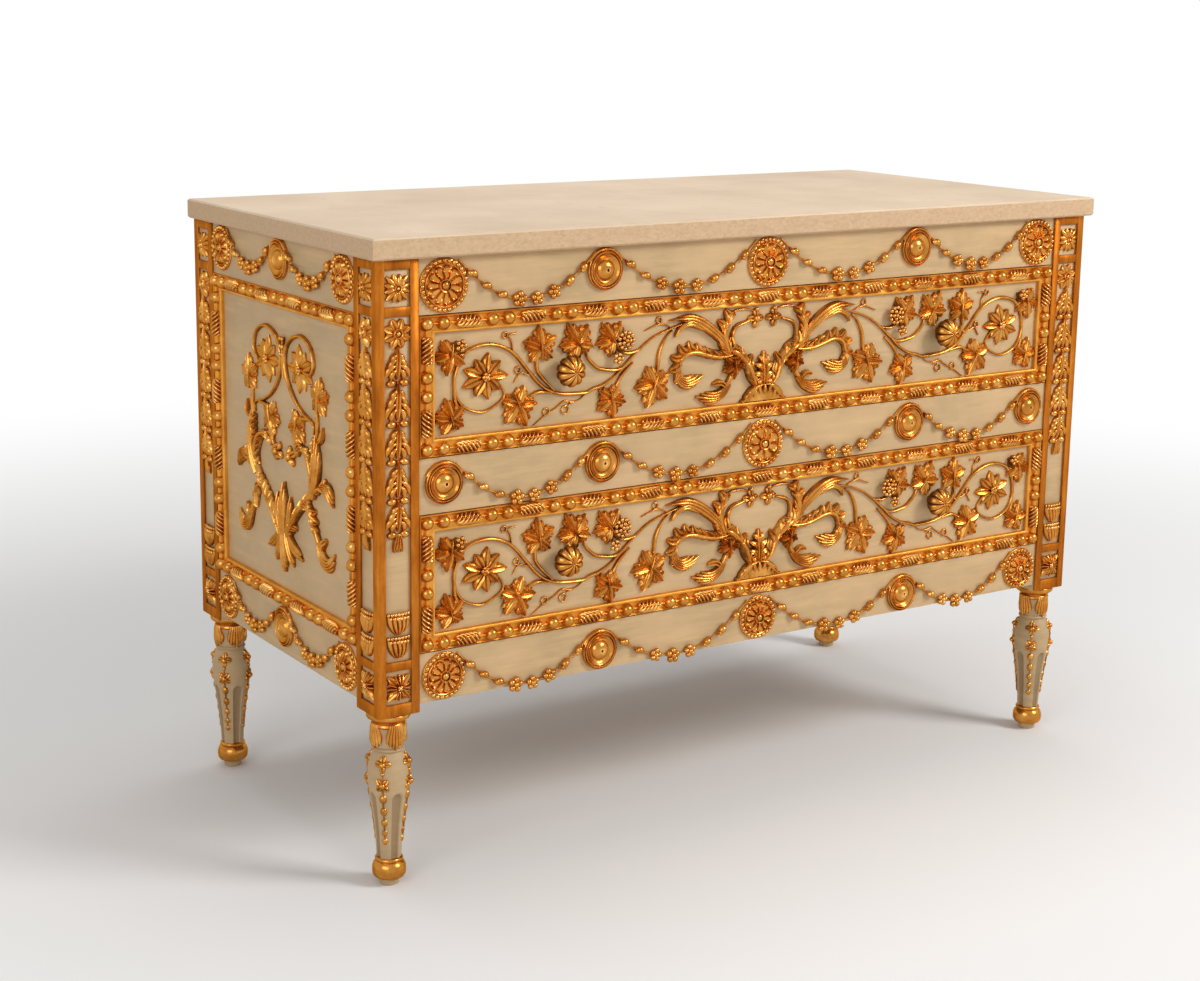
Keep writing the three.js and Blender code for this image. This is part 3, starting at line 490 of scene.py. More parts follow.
def mark_relief(mesh, sunk):
    """Writes how far each point stands out of the surface round it: 1 on a crest, 0 in a hollow.
    Where the carving sinks to its ground the value falls too, for the dark glaze and the painted shade that
    gather there."""
    count = len(mesh.vertices)
    points = read(mesh.vertices, "co", np.float32, 3)
    normals = read(mesh.vertex_normals, "vector", np.float32, 3)
    first, second = read(mesh.edges, "vertices", np.int32, 2).T
    degree = np.maximum(np.bincount(first, minlength=count) + np.bincount(second, minlength=count), 1)

    def gathered(at_first, at_second):
        return (np.bincount(first, at_second, count) + np.bincount(second, at_first, count)) / degree

    def neighbours(values):
        return gathered(values[first], values[second])

    nearby = np.stack([neighbours(points[:, axis]) for axis in range(3)], 1)
    lengths = np.linalg.norm(points[first] - points[second], axis=1)
    reach = gathered(lengths, lengths)
    proud = ((points - nearby) * normals).sum(1) / np.maximum(reach, 0.2 * MM) ** 2
    proud = np.clip(proud * RELIEF_REACH, -1, 1)
    for _ in range(2):
        proud = 0.5 * proud + 0.5 * neighbours(proud)
    # Deep points are lowered, so that the finishes paint shade and glaze into them
    value = np.clip(0.5 + 0.5 * proud - SHADE_AND_GLAZE_SHARE * sunk, 0, 1)
    attribute = mesh.attributes.get(RELIEF) or mesh.attributes.new(RELIEF, "FLOAT", "POINT")
    attribute.data.foreach_set("value", value.astype(np.float32))


def sunk_share(local):
    """How deep each point lies below the mean height of the carving round it, from 0 to 1: the share of
    painted shade and glaze it gets.
    """
    spot = np.floor((local[:, :2] - local[:, :2].min(0)) / HOLLOW_CELL).astype(int) + 3
    high = np.zeros(spot.max(0) + 4)
    np.maximum.at(high, tuple(spot.T), local[:, 2])
    for axis in (0, 1):
        high = np.maximum(high, np.maximum(np.roll(high, 1, axis), np.roll(high, -1, axis)))
    for axis in (0, 1):
        high = 0.4 * high + 0.3 * np.roll(high, 1, axis) + 0.3 * np.roll(high, -1, axis)
    return np.clip((high[tuple(spot.T)] - local[:, 2] - SHADE_AND_GLAZE_START) / SHADE_AND_GLAZE_DEPTH, 0, 1)


def lightly_sunk(local):
    """A thinner share of painted shade and glaze, for the shallow carving of the garlands and posts."""
    return LIGHT_SHADE_AND_GLAZE * sunk_share(local)


def unsunk(local):
    """No painted shade or glaze but what lies between crests, as on the frames and the painted and banded
    posts.
    """
    return np.zeros(len(local))


def linked(name, data):
    """A new object in the scene."""
    made = bpy.data.objects.new(name, data)
    bpy.context.scene.collection.objects.link(made)
    return made


def piece_from(name, carving, ground, body, nodes, finishes=(GILT,), sunk_at=sunk_share):
    """Turns gathered bodies into a piece that rides with a body of the case and replaces its nodes."""
    local = np.concatenate(carving.points)
    mesh = mesh_from(name, ground.place(local), carving.faces, carving.marks, finishes, sunk_at(local))
    piece = linked(name, mesh)
    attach(piece, body)
    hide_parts(*nodes)


def smooth_line(points, steps):
    """Evenly spaced points on the smooth curve that runs through the given ones."""
    line = np.array(points, float)
    if len(line) == 2:
        return line[0] + np.linspace(0, 1, steps + 1)[:, None] * (line[1] - line[0])
    padded = np.vstack([2 * line[0] - line[1], line, 2 * line[-1] - line[-2]])
    t = np.linspace(0, 1, 17)[:, None]
    runs = []
    for a, b, c, d in zip(padded, padded[1:], padded[2:], padded[3:]):
        runs.append(0.5 * (2 * b + (c - a) * t + (2 * a - 5 * b + 4 * c - d) * t ** 2
                           + (3 * b - a - 3 * c + d) * t ** 3)[:-1])
    dense = np.vstack([*runs, line[-1:]])
    travelled = np.concatenate([[0], np.cumsum(np.linalg.norm(np.diff(dense, axis=0), axis=1))])
    wanted = np.linspace(0, travelled[-1], steps + 1)
    return np.stack([np.interp(wanted, travelled, dense[:, axis]) for axis in range(2)], 1)


def closed_under(top, base):
    """A closed body below a sheet of points: rows run along a line, columns from its right to its left."""
    rows, columns = top.shape[:2]
    right = top[:, 0].copy()
    left = top[:, -1].copy()
    right[:, 2] = base
    left[:, 2] = base
    points = np.concatenate([top.reshape(-1, 3), right, left])
    grid = np.arange(rows * columns).reshape(rows, columns)
    low_right = rows * columns + np.arange(rows)
    low_left = low_right + rows
    upper = np.stack([grid[:-1, :-1], grid[1:, :-1], grid[1:, 1:], grid[:-1, 1:]], -1).reshape(-1, 4)
    right_wall = np.stack([low_right[:-1], low_right[1:], grid[1:, 0], grid[:-1, 0]], -1)
    left_wall = np.stack([low_left[1:], low_left[:-1], grid[:-1, -1], grid[1:, -1]], -1)
    under = np.stack([low_left[:-1], low_left[1:], low_right[1:], low_right[:-1]], -1)
    start = np.concatenate([[low_left[0], low_right[0]], grid[0]])[None]
    end = np.concatenate([[low_right[-1], low_left[-1]], grid[-1, ::-1]])[None]
    return points, [np.concatenate([upper, right_wall, left_wall, under]), start, end]


def headings(path):
    """The way a line runs at each of its points, and the way to its left."""
    run = np.gradient(path, axis=0)
    run /= np.maximum(np.linalg.norm(run, axis=1, keepdims=True), 1e-9)
    return run, np.stack([-run[:, 1], run[:, 0]], 1)


def spread_at(share, values):
    """Values given at even steps, read at shares of the whole way."""
    return np.interp(share, np.linspace(0, 1, len(values)), values)


def band(line, width, height, across, steps, section, base=-SEAT, low=0.4):
    """A carved band along a line. section gives the share of the height at each place across it."""
    path = smooth_line(line, steps)
    _, aside = headings(path)
    share = np.linspace(0, 1, steps + 1)
    x = np.linspace(-1, 1, across)
    reach = spread_at(share, width)[:, None] / 2 * x
    spot = path[:, None] + aside[:, None] * reach[..., None]
    lift = low + spread_at(share, height)[:, None] * section(x)
    return closed_under(np.concatenate([spot, lift[..., None]], -1), base)


def lathe(outline, columns, reach_at=None, centre=(0, 0), lift_at=None):
    """A closed form turned about w from an outline of radius and height that ends on its axis.
    reach_at and lift_at may change its radius and height round the turn."""
    rings = np.array(outline[:-1], float)
    angles = np.linspace(0, 2 * math.pi, columns, endpoint=False)
    share = np.linspace(0, 1, len(rings))[:, None]
    radius = np.repeat(rings[:, :1], columns, 1)
    height = np.repeat(rings[:, 1:], columns, 1)
    if reach_at is not None:
        radius = reach_at(radius, angles, share)
    if lift_at is not None:
        height = lift_at(height, angles, share)
    points = np.stack([centre[0] + radius * np.cos(angles), centre[1] + radius * np.sin(angles), height], -1)
    points = np.concatenate([points.reshape(-1, 3), [[*centre, outline[-1][1]]]])
    grid = np.arange(len(rings) * columns).reshape(len(rings), columns)
    after = np.roll(grid, -1, 1)
    wall = np.stack([grid[:-1], after[:-1], after[1:], grid[1:]], -1).reshape(-1, 4)
    crown = np.stack([grid[-1], after[-1], np.full(columns, len(points) - 1)], -1)
    return points, [wall, crown, grid[0][None, ::-1]]


# Carved motifs

# Widths of a blade from its root to its tip, and FALL, its height, as shares of the largest
POINTED = [0.35, 0.72, 0.96, 1, 0.84, 0.5, 0.06]
PETAL = [0.3, 0.55, 0.82, 1, 0.96, 0.62, 0.08]
BLUNT = [0.42, 0.68, 0.88, 1, 0.98, 0.82, 0.4]
LOBE = [0.5, 0.8, 0.98, 1.02, 0.9, 0.6, 0.14]
FINGER = [0.5, 0.8, 1, 1.05, 0.95, 0.45]
LEAFLET = [0.5, 0.82, 1, 0.98, 0.82, 0.34]
HUSK = [0.3, 0.55, 0.85, 1, 1.05, 0.8, 0.3]
FALL = [0.6, 0.9, 1, 0.97, 0.88, 0.7, 0.45]


def rounded(x):
    return np.sqrt(np.clip(1 - x ** 2, 0, 1))


def folded(x):
    """A petal creased to a ridge along its middle."""
    return np.clip(1 - np.abs(x), 0, 1) ** 0.85


def grooved(x):
    """A broad leaf with a sunk midrib between two swelling sides."""
    dome = np.clip(1 - np.abs(x) ** 3, 0, 1) ** 0.6
    return dome * (1 - 0.5 * np.exp(-(x / 0.3) ** 2))


def hollowed(x):
    """A leaflet with low raised edges, a shallow hollow and a fine vein along its middle."""
    rim = np.exp(-((np.abs(x) - 0.64) / 0.28) ** 2)
    vein = np.exp(-(x / 0.12) ** 2)
    return np.clip(1 - x ** 4, 0, 1) ** 0.5 * (0.62 + 0.38 * rim + 0.24 * vein)


def add_stem(carving, line, width=STEM_WIDTH, height=STEM_HEIGHT, taper=0.55):
    """A round vine stem, thinner at both ends."""
    length = np.linalg.norm(np.diff(np.array(line), axis=0), axis=1).sum()
    steps = max(6, int(length / 5))
    widths = width * np.array([taper, 1, 1, taper])
    heights = height * np.array([0.8, 1, 1, 0.8])
    carving.add(*band(line, widths, heights, 9, steps, rounded))


def add_blade(carving, root, tip, width, height, form, spread, bend=0.0, steps=9, across=7):
    """A leaf blade, petal or flute from its root to its tip. bend bows it to its left."""
    root, tip = np.array([root, tip], float)
    run = tip - root
    bow = np.array([-run[1], run[0]]) * bend
    line = [root, (root + tip) / 2 + bow, tip]
    carving.add(*band(line, width * np.array(spread), height * np.array(FALL), across, steps, form))


def around(centre, reach, angle):
    return (centre[0] + reach * math.cos(angle), centre[1] + reach * math.sin(angle))


def circle_line(centre, radius):
    return [around(centre, radius, 2 * math.pi * index / 12) for index in range(13)]


# Lobes of a vine leaf: turn from its heading in degrees, and reach
LEAF_LOBES = [(134, 0.82), (-134, 0.82), (64, 0.94), (-64, 0.94), (0, 1.04)]
# Leaflets of a lobe: where each starts and ends, along the lobe and to its side
LEAF_FINGERS = [((0.22, 0.04), (0.54, 0.31)), ((0.46, 0.04), (0.8, 0.24))]


def add_vine_leaf(carving, centre, heading, reach, height=LEAF_HEIGHT):
    """A vine leaf: five veined lobes, each with two pairs of leaflets that come out from under it."""
    for turn, share in LEAF_LOBES:
        way = math.radians(heading + turn)
        ahead = np.array([math.cos(way), math.sin(way)]) * share * reach
        aside = np.array([-math.sin(way), math.cos(way)]) * reach
        lift = height * (1.08 - 0.1 * abs(turn) / 90)
        add_blade(carving, centre, centre + ahead, 0.44 * reach, lift, hollowed, LOBE, 0, 12, 11)
        for start, end in LEAF_FINGERS:
            for side in (-1, 1):
                root = centre + start[0] * ahead + side * start[1] * aside
                tip = centre + end[0] * ahead + side * end[1] * aside
                add_blade(carving, root, tip, 0.26 * reach, 0.84 * lift, hollowed, LEAFLET,
                          0.14 * side, 7, 9)
    line = [around(centre, share * reach, math.radians(heading)) for share in (-0.5, -0.1, 0.3)]
    add_stem(carving, line, 0.11 * reach, 1.12 * height, 0.5)


def add_daisy(carving, centre, reach, height=9.5):
    """An open flower of nine grooved petals, long and short, round a small heap of seeds."""
    for index in range(9):
        angle = 2 * math.pi * index / 9 + 0.35
        length = reach * (1 + 0.07 * math.sin(5 * index))
        length *= 1 - 0.12 * (index % 2)
        lift = height * (0.78 + 0.22 * (index % 2))
        add_blade(carving, around(centre, 0.07 * reach, angle), around(centre, length, angle),
                  0.45 * reach, lift, grooved, PETAL, 0, 12, 9)
    for index in range(5):
        add_pearl(carving, around(centre, 0.12 * reach, 1.26 * index), 0.085 * reach, 0.75 * height)
    add_pearl(carving, centre, 0.1 * reach, 0.9 * height)


def add_acanthus(carving, line, width, side, height, both=False):
    """An acanthus scroll: a smooth rib along its inner edge, a low plate, and on it leaflets that sweep
    forward, one over the next, to the outer edge: on the left where side is 1, or on both sides."""
    path = smooth_line(line, SCROLL_STEPS)
    length = np.linalg.norm(np.diff(path, axis=0), axis=1).sum()
    steps = max(10, int(length / 4))
    run, aside = headings(path)
    lean = 0 if both else side
    swell = np.array([0.3, 0.5, 0.56, 0.52, 0.28]) * width
    rib = (path - aside * lean * 0.2 * width)[::8]
    carving.add(*band(rib, swell, [height * 0.7, height, height, height * 0.9, 4], 9, steps, rounded))
    plate = (path + aside * lean * 0.08 * width)[::8]
    heights = height * np.array([0.3, 0.4, 0.3])
    carving.add(*band(plate, swell * (1.5 if both else 1.15), heights, 7, steps, rounded))
    leaflets = max(3, int((LEAFLETS_END - LEAFLETS_START) * length / (0.66 * width)))
    for index in range(leaflets):
        share = LEAFLETS_START + (LEAFLETS_END - LEAFLETS_START) * index / (leaflets - 1)
        spot = int(share * SCROLL_STEPS)
        grow = 0.62 + 0.38 * math.sin(math.pi * (0.1 + 0.8 * share))
        for way in (side, -side) if both else (side,):
            turn = math.atan2(run[spot][1], run[spot][0]) + way * 0.54
            root = path[spot] - aside[spot] * lean * 0.16 * width
            tip = around(root, 1.3 * width * grow, turn)
            lift = height * (0.84 + 0.16 * (index % 2))
            add_blade(carving, root, tip, 0.78 * width, lift, grooved, LEAFLET, -0.2 * way, 10, 9)


def add_fan(carving, line, widths, flutes, height):
    """A fluted leaf that widens along its line to a scalloped end."""
    path = smooth_line(line, 24)
    _, aside = headings(path)
    spread = spread_at(np.linspace(0, 1, len(path)), widths)
    for index in range(flutes):
        across = (2 * index + 1) / flutes - 1
        stop = len(path) - int(7 * abs(across) ** 1.5)
        flute = (path + aside * (across * spread / 2 * (1 - 1 / flutes))[:, None])[:stop:3]
        wide = 1.35 * spread_at(np.linspace(0, 1, 6), spread) / flutes
        wide[-1] *= 0.45
        lift = height * (1 - 0.28 * across ** 2)
        carving.add(*band(flute, wide, lift * np.array([0.8, 1, 1, 1, 0.9, 0.5]), 7, 14, rounded))


def petal_field(petals, shares, rise):
    """Height of a rosette's petals: tongues with raised borders and round ends, and hollows between."""
    def lift_at(height, angle, share):
        along = spread_at(share, shares)
        across = np.abs(2 * ((angle * petals / (2 * math.pi)) % 1) - 1) / 0.98
        edge = np.hypot(across, np.clip((along - 0.7) / 0.26, 0, None))
        border = np.exp(-((edge - 0.76) / 0.2) ** 2)
        tongue = np.where(edge < 0.76, np.maximum(border, 0.5), border)
        return height + rise * tongue * np.clip((along - 0.2) / 0.2, 0, 1) * (share > 0)
    return lift_at


def add_rosette(carving, centre, radius, petals):
    """A turned rosette: a seat for its pearls, a thin ring, bordered petals and a cupped button."""
    rim = [
        (radius, -SEAT), (radius, 1.6), (radius - 0.8, 2.4), (radius - 7, 2.4), (radius - 7.2, 4.8),
        (radius - 8, 5.6), (radius - 8.9, 5), (radius - 9.3, 1.6), (0, 1.6)]
    carving.add(*lathe(rim, 60, centre=centre))
    reach = radius - 9.2
    shares = [1, 1, 0.965, 0.93, 0.89, 0.84, 0.78, 0.7, 0.6, 0.5, 0.4, 0.3]
    dish = [(share * reach, 1.8 + 3.4 * (1 - share) ** 1.4) for share in shares[1:]]
    field = petal_field(petals, shares, 4.4)
    carving.add(*lathe([(reach, 1), *dish, (0, 4)], petals * 14, centre=centre, lift_at=field))
    button = [
        (0.26, 3), (0.255, 7.4), (0.235, 8.6), (0.21, 8.2), (0.195, 3.4),
        (0.15, 3.4), (0.148, 7), (0.12, 8.8), (0.06, 9.8), (0, 10)]
    carving.add(*lathe([(share * radius, level) for share, level in button], 28, centre=centre))


def add_roundel(carving, centre, radius):
    """A turned roundel: two thin rings, a bowl with a raised edge, and a domed boss with a pin hole."""
    outline = [
        (1, -0.03), (1, 0.1), (0.99, 0.155), (0.965, 0.175), (0.945, 0.155), (0.932, 0.08), (0.912, 0.08),
        (0.9, 0.18), (0.872, 0.225), (0.845, 0.225), (0.82, 0.18), (0.808, 0.09), (0.785, 0.09),
        (0.775, 0.2), (0.752, 0.225), (0.73, 0.21), (0.67, 0.15), (0.61, 0.105), (0.555, 0.085),
        (0.52, 0.09), (0.49, 0.15), (0.44, 0.22), (0.36, 0.285), (0.26, 0.335), (0.15, 0.36), (0.085, 0.365),
        (0.07, 0.35), (0.055, 0.2), (0, 0.2)]
    carving.add(*lathe([(r * radius, h * radius) for r, h in outline], 56, centre=centre))


def pearl_pattern(rings):
    """A low round pearl of unit radius, with its foot a little below its middle."""
    turns = [math.radians(-25 + 115 * index / rings) for index in range(rings)]
    outline = [(math.cos(turn), math.sin(turn)) for turn in turns] + [(0, 1)]
    return lathe(outline, 8)


def add_pearl(carving, place, radius, height, stretch=1.0, turn=0.0):
    """One round or drawn-out berry, its middle at the given height."""
    points, faces = pearl_pattern(3)
    points = points * (radius * stretch, radius, radius)
    c, s = math.cos(turn), math.sin(turn)
    points = points @ np.array([(c, s, 0), (-s, c, 0), (0, 0, 1)])
    carving.add(points + (*place, height), faces)


def pattern_object(name, points, faces):
    """A shape that the rows of ornament repeat, kept out of the scene."""
    mesh = mesh_from(name, np.array(points, float), [np.array(face, int) for face in faces],
                     [np.zeros(len(face)) for face in faces], [GILT])
    return bpy.data.objects.new(name, mesh)


def bead_pattern():
    """A round bead on a foot that spreads into its channel."""
    turns = [math.radians(angle) for angle in (6, 22, 40, 58, 75)]
    middle_height = BEAD_CROWN - BEAD_RADIUS
    foot = [(BEAD_RADIUS + 1.9, CHANNEL_HEIGHT - 1.6), (BEAD_RADIUS + 0.9, CHANNEL_HEIGHT + 1)]
    dome = [around((0, middle_height), BEAD_RADIUS, turn) for turn in turns]
    return pattern_object("bead", *lathe([*foot, *dome, (0, BEAD_CROWN)], 18))


def reel_pattern(hand):
    """A barrel of twisted gadroons, lying along u. hand turns the twist."""
    rows, columns, strands, turns = 57, 27, 5, 1.15
    share = np.linspace(0, 1, rows)
    angles = np.linspace(math.radians(198), math.radians(-18), columns)
    grid_a, grid_s = np.meshgrid(angles, share)
    bulge = REEL_RADIUS * (1 - 0.4 * np.abs(2 * grid_s - 1) ** 6)
    twist = strands * (grid_a + hand * 2 * math.pi * turns * grid_s)
    fluted = bulge * (0.5 + 0.54 * np.abs(np.cos(twist / 2)) ** 1.1)
    u = (grid_s - 0.5) * REEL_LENGTH
    top = np.stack([u, -fluted * np.cos(grid_a), BEAD_CROWN - BEAD_RADIUS + fluted * np.sin(grid_a)], -1)
    return pattern_object("reel", *closed_under(top[:, ::-1], CHANNEL_HEIGHT - 2))


def bud_pattern():
    """A leaf bud of the swags: a berry with a bract on each side of it, along u."""
    carving = Carving()
    add_pearl(carving, (0.8, 0.8), 5.6, 4, 1.25)
    add_pearl(carving, (-3.4, -2.2), 4.2, 3.4, 1.3)
    add_blade(carving, (-12, 0), (-2, -5.4), 5.6, 5.8, folded, POINTED, 0.2, 6, 5)
    add_blade(carving, (1, 4), (11, 0), 5.4, 5.6, folded, POINTED, 0.1, 6, 5)
    return pattern_object("bud", np.concatenate(carving.points), carving.faces)


def cluster_pattern():
    """Five berries pressed together, with a sixth on top."""
    carving = Carving()
    for index in range(5):
        add_pearl(carving, around((0, 0), 6.8, 2 * math.pi * index / 5 + 0.3), 4.9, 2.6)
    add_pearl(carving, (0, 0), 4.8, 4.8)
    return pattern_object("cluster", np.concatenate(carving.points), carving.faces)


# Rows of repeated ornament, made by geometry nodes

def new_tree(name, inputs):
    """A geometry node tree with named inputs."""
    tree = bpy.data.node_groups.new(name, "GeometryNodeTree")
    tree.interface.new_socket("Geometry", in_out="INPUT", socket_type="NodeSocketGeometry")
    for label, kind in inputs:
        tree.interface.new_socket(label, in_out="INPUT", socket_type=f"NodeSocket{kind}")
    tree.interface.new_socket("Geometry", in_out="OUTPUT", socket_type="NodeSocketGeometry")
    return tree, add_node(tree, "NodeGroupInput").outputs


def finish_tree(tree, source, finish):
    """Ends a tree with real meshes in their finish."""
    real = add_node(tree, "GeometryNodeRealizeInstances", {"Geometry": source})
    dressed = add_node(tree, "GeometryNodeSetMaterial", {"Geometry": real, "Material": finish})
    add_node(tree, "NodeGroupOutput", {"Geometry": dressed})
    return tree


def pattern_of(tree, source):
    info = add_node(tree, "GeometryNodeObjectInfo", {"Object": source, "As Instance": True})
    return info.outputs["Geometry"]


def row_tree():
    """Copies of a pattern at even steps along a straight line."""
    tree, given = new_tree("row of copies", [
        ("Pattern", "Object"), ("Start", "Vector"), ("Step", "Vector"), ("Count", "Int"),
        ("Turn", "Float"), ("Finish", "Material")])
    line = add_node(tree, "GeometryNodeMeshLine", {
        "Count": given["Count"], "Start Location": given["Start"], "Offset": given["Step"]}, mode="OFFSET")
    turn = add_node(tree, "ShaderNodeCombineXYZ", {"Z": given["Turn"]})
    copies = add_node(tree, "GeometryNodeInstanceOnPoints", {
        "Points": line, "Instance": pattern_of(tree, given["Pattern"]), "Rotation": turn})
    return finish_tree(tree, copies, given["Finish"])


def ring_tree():
    """Pearls in a ring round a rosette."""
    tree, given = new_tree("ring of pearls", [
        ("Pattern", "Object"), ("Centre", "Vector"), ("Ring Radius", "Float"), ("Pearl Radius", "Float"),
        ("Count", "Int"), ("Finish", "Material")])
    ring = add_node(tree, "GeometryNodeMeshCircle", {
        "Vertices": given["Count"], "Radius": given["Ring Radius"]})
    spots = add_node(tree, "GeometryNodeTransform", {"Geometry": ring, "Translation": given["Centre"]})
    copies = add_node(tree, "GeometryNodeInstanceOnPoints", {
        "Points": spots, "Instance": pattern_of(tree, given["Pattern"]),
        "Scale": given["Pearl Radius"]})
    return finish_tree(tree, copies, given["Finish"])


def within(tree, share, centre, reach):
    """Whether a share lies nearer to a centre than a reach."""
    away = reckon(tree, "ABSOLUTE", reckon(tree, "SUBTRACT", share, centre))
    return add_node(tree, "FunctionNodeCompare", {0: away, 1: reach},
                    operation="LESS_THAN", data_type="FLOAT")


def swag_tree():
    """A string hung between two points, with buds along it and clusters of berries in its middle."""
    tree, given = new_tree("swag of buds", [
        ("Bud", "Object"), ("Cluster", "Object"), ("From", "Vector"), ("Low", "Vector"), ("To", "Vector"),
        ("String Radius", "Float"), ("Buds", "Int"), ("Cluster Middle", "Float"), ("Cluster Reach", "Float"),
        ("Finish", "Material")])
    hang = add_node(tree, "GeometryNodeCurveQuadraticBezier", {
        "Resolution": 40, "Start": given["From"], "Middle": given["Low"], "End": given["To"]})
    section = add_node(tree, "GeometryNodeCurvePrimitiveCircle", {
        "Resolution": 6, "Radius": given["String Radius"]})
    string = add_node(tree, "GeometryNodeCurveToMesh", {
        "Curve": hang, "Profile Curve": section, "Fill Caps": True})
    spots = add_node(tree, "GeometryNodeResampleCurve", {"Curve": hang, "Count": given["Buds"]})
    along = add_node(tree, "GeometryNodeInputTangent")
    turn = add_node(tree, "FunctionNodeAlignRotationToVector", {"Vector": along},
                    axis="X", pivot_axis="Z")
    share = add_node(tree, "GeometryNodeSplineParameter").outputs["Factor"]
    inside = within(tree, share, given["Cluster Middle"], given["Cluster Reach"])
    ends = within(tree, share, 0.5, 0.49)
    sprig = add_node(tree, "FunctionNodeBooleanMath", {0: ends, 1: inside}, operation="NIMPLY")
    wobble = add_node(tree, "FunctionNodeRandomValue", {2: 0.92, 3: 1.08, "Seed": 7}, data_type="FLOAT")

    def hung(pattern, where):
        return add_node(tree, "GeometryNodeInstanceOnPoints", {
            "Points": spots, "Selection": where, "Instance": pattern_of(tree, given[pattern]),
            "Rotation": turn, "Scale": wobble.outputs[1]})

    whole = add_node(tree, "GeometryNodeJoinGeometry")
    for part in (string, hung("Bud", sprig), hung("Cluster", inside)):
        tree.links.new(part.outputs[0], whole.inputs[0])
    return finish_tree(tree, whole, given["Finish"])


def grown(tree, values):
    """The points and faces that a tree makes with the given inputs, in millimetres."""
    mesh = bpy.data.meshes.new("grown")
    holder = linked("grown", mesh)
    modifier = holder.modifiers.new("grown", "NODES")
    modifier.node_group = tree
    for socket in tree.interface.items_tree:
        if socket.in_out == "INPUT" and socket.name in values:
            modifier[socket.identifier] = values[socket.name]
    evaluated = holder.evaluated_get(bpy.context.evaluated_depsgraph_get())
    made = bpy.data.meshes.new_from_object(evaluated)
    holder.modifiers.remove(modifier)
    points = read(made.vertices, "co", np.float32, 3)
    sizes = read(made.polygons, "loop_total", np.int32)
    starts = read(made.polygons, "loop_start", np.int32)
    loops = read(made.loops, "vertex_index", np.int32)
    groups = [loops[starts[sizes == size][:, None] + np.arange(size)] for size in np.unique(sizes)]
    bpy.data.objects.remove(holder)
    bpy.data.meshes.remove(made)
    bpy.data.meshes.remove(mesh)
    return points, groups


ROW = row_tree()
RING = ring_tree()
SWAG = swag_tree()
BEAD = bead_pattern()
REELS = [reel_pattern(1), reel_pattern(-1)]
BUD = bud_pattern()
CLUSTER = cluster_pattern()
PEARL = pattern_object("pearl", *pearl_pattern(4))


def add_row(carving, pattern, start, step, count, turn=0.0):
    """A row of beads or reels, in the second finish of its piece."""
    if count > 0:
        carving.add(*grown(ROW, {
            "Pattern": pattern, "Start": (*start, 0), "Step": (*step, 0), "Count": count,
            "Turn": turn, "Finish": GILT}), mark=1)


def add_pearls(carving, centre, ring, pearl, count, lift):
    carving.add(*grown(RING, {
        "Pattern": PEARL, "Centre": (*centre, lift), "Ring Radius": ring, "Pearl Radius": pearl,
        "Count": count, "Finish": GILT}))


def add_swag(carving, start, end, sag, buds, cluster_middle, cluster_reach):
    """A parabola of buds and berries between two medallions. The first and last spots are the knots."""
    low = ((start[0] + end[0]) / 2, (start[1] + end[1]) / 2 - 2 * sag)
    carving.add(*grown(SWAG, {
        "Bud": BUD, "Cluster": CLUSTER, "From": (*start, SWAG_LIFT), "Low": (*low, SWAG_LIFT),
        "To": (*end, SWAG_LIFT), "String Radius": STRING_RADIUS, "Buds": buds + 2,
        "Cluster Middle": cluster_middle, "Cluster Reach": cluster_reach, "Finish": GILT}))


# Bead and reel frames

def frame_outline():
    """Inset and height of the frame's moulding: outer lip, hollow channel, inner lip."""
    rim = LIP_HEIGHT - 0.5
    outline = [(0, -SEAT), (0, rim - 1), (0.5, rim), (1.1, LIP_HEIGHT), (1.8, rim)]
    for index in range(1, 8):
        turn = math.pi * index / 8
        hollow = (rim - CHANNEL_HEIGHT) * math.sin(turn) ** 0.6
        outline.append((1.8 + 19 * (1 - math.cos(turn)) / 2, rim - hollow))
    inner = [(20.8, rim), (21.6, LIP_HEIGHT), (23.4, rim), (24.6, rim - 1.4)]
    return [*outline, *inner, (FRAME_WIDTH, 4), (FRAME_WIDTH, -SEAT)]


def add_moulding(carving, centre, width, height):
    """The frame's moulding, mitred at its corners, with its section closed."""
    outline = frame_outline()
    rings = []
    for su, sv in [(-1, -1), (1, -1), (1, 1), (-1, 1)]:
        rings.append([(centre[0] + su * (width / 2 - inset), centre[1] + sv * (height / 2 - inset), lift)
                      for inset, lift in outline])
    sections = np.array(rings)
    count = len(outline)
    grid = np.arange(4 * count).reshape(4, count)
    after = np.roll(grid, -1, 0)
    further = np.roll(grid, -1, 1)
    beyond = np.roll(after, -1, 1)
    carving.add(sections, [np.stack([grid, after, beyond, further], -1).reshape(-1, 4)])


def add_run(carving, start, way, length, reels, paired, hand):
    """One side's beads and reels, from corner bead to corner bead."""
    start, way = np.array([start, way], float)
    turn = math.atan2(way[1], way[0])
    end = BEAD_PAIR if paired else 0
    pitch = (length - 2 * end - (reels - 1) * BEAD_PAIR) / reels + BEAD_PAIR
    first_reel = end + (pitch - BEAD_PAIR) / 2
    if paired:
        add_row(carving, BEAD, start + way * end, way * (length - 2 * end), 2)
    for offset in (-1, 1):
        spot = start + way * (first_reel + pitch / 2 + offset * BEAD_PAIR / 2)
        add_row(carving, BEAD, spot, way * pitch, reels - 1)
    for parity in (0, 1):
        count = (reels - parity + 1) // 2
        add_row(carving, REELS[(parity + hand) % 2], start + way * (first_reel + parity * pitch),
                way * 2 * pitch, count, turn)


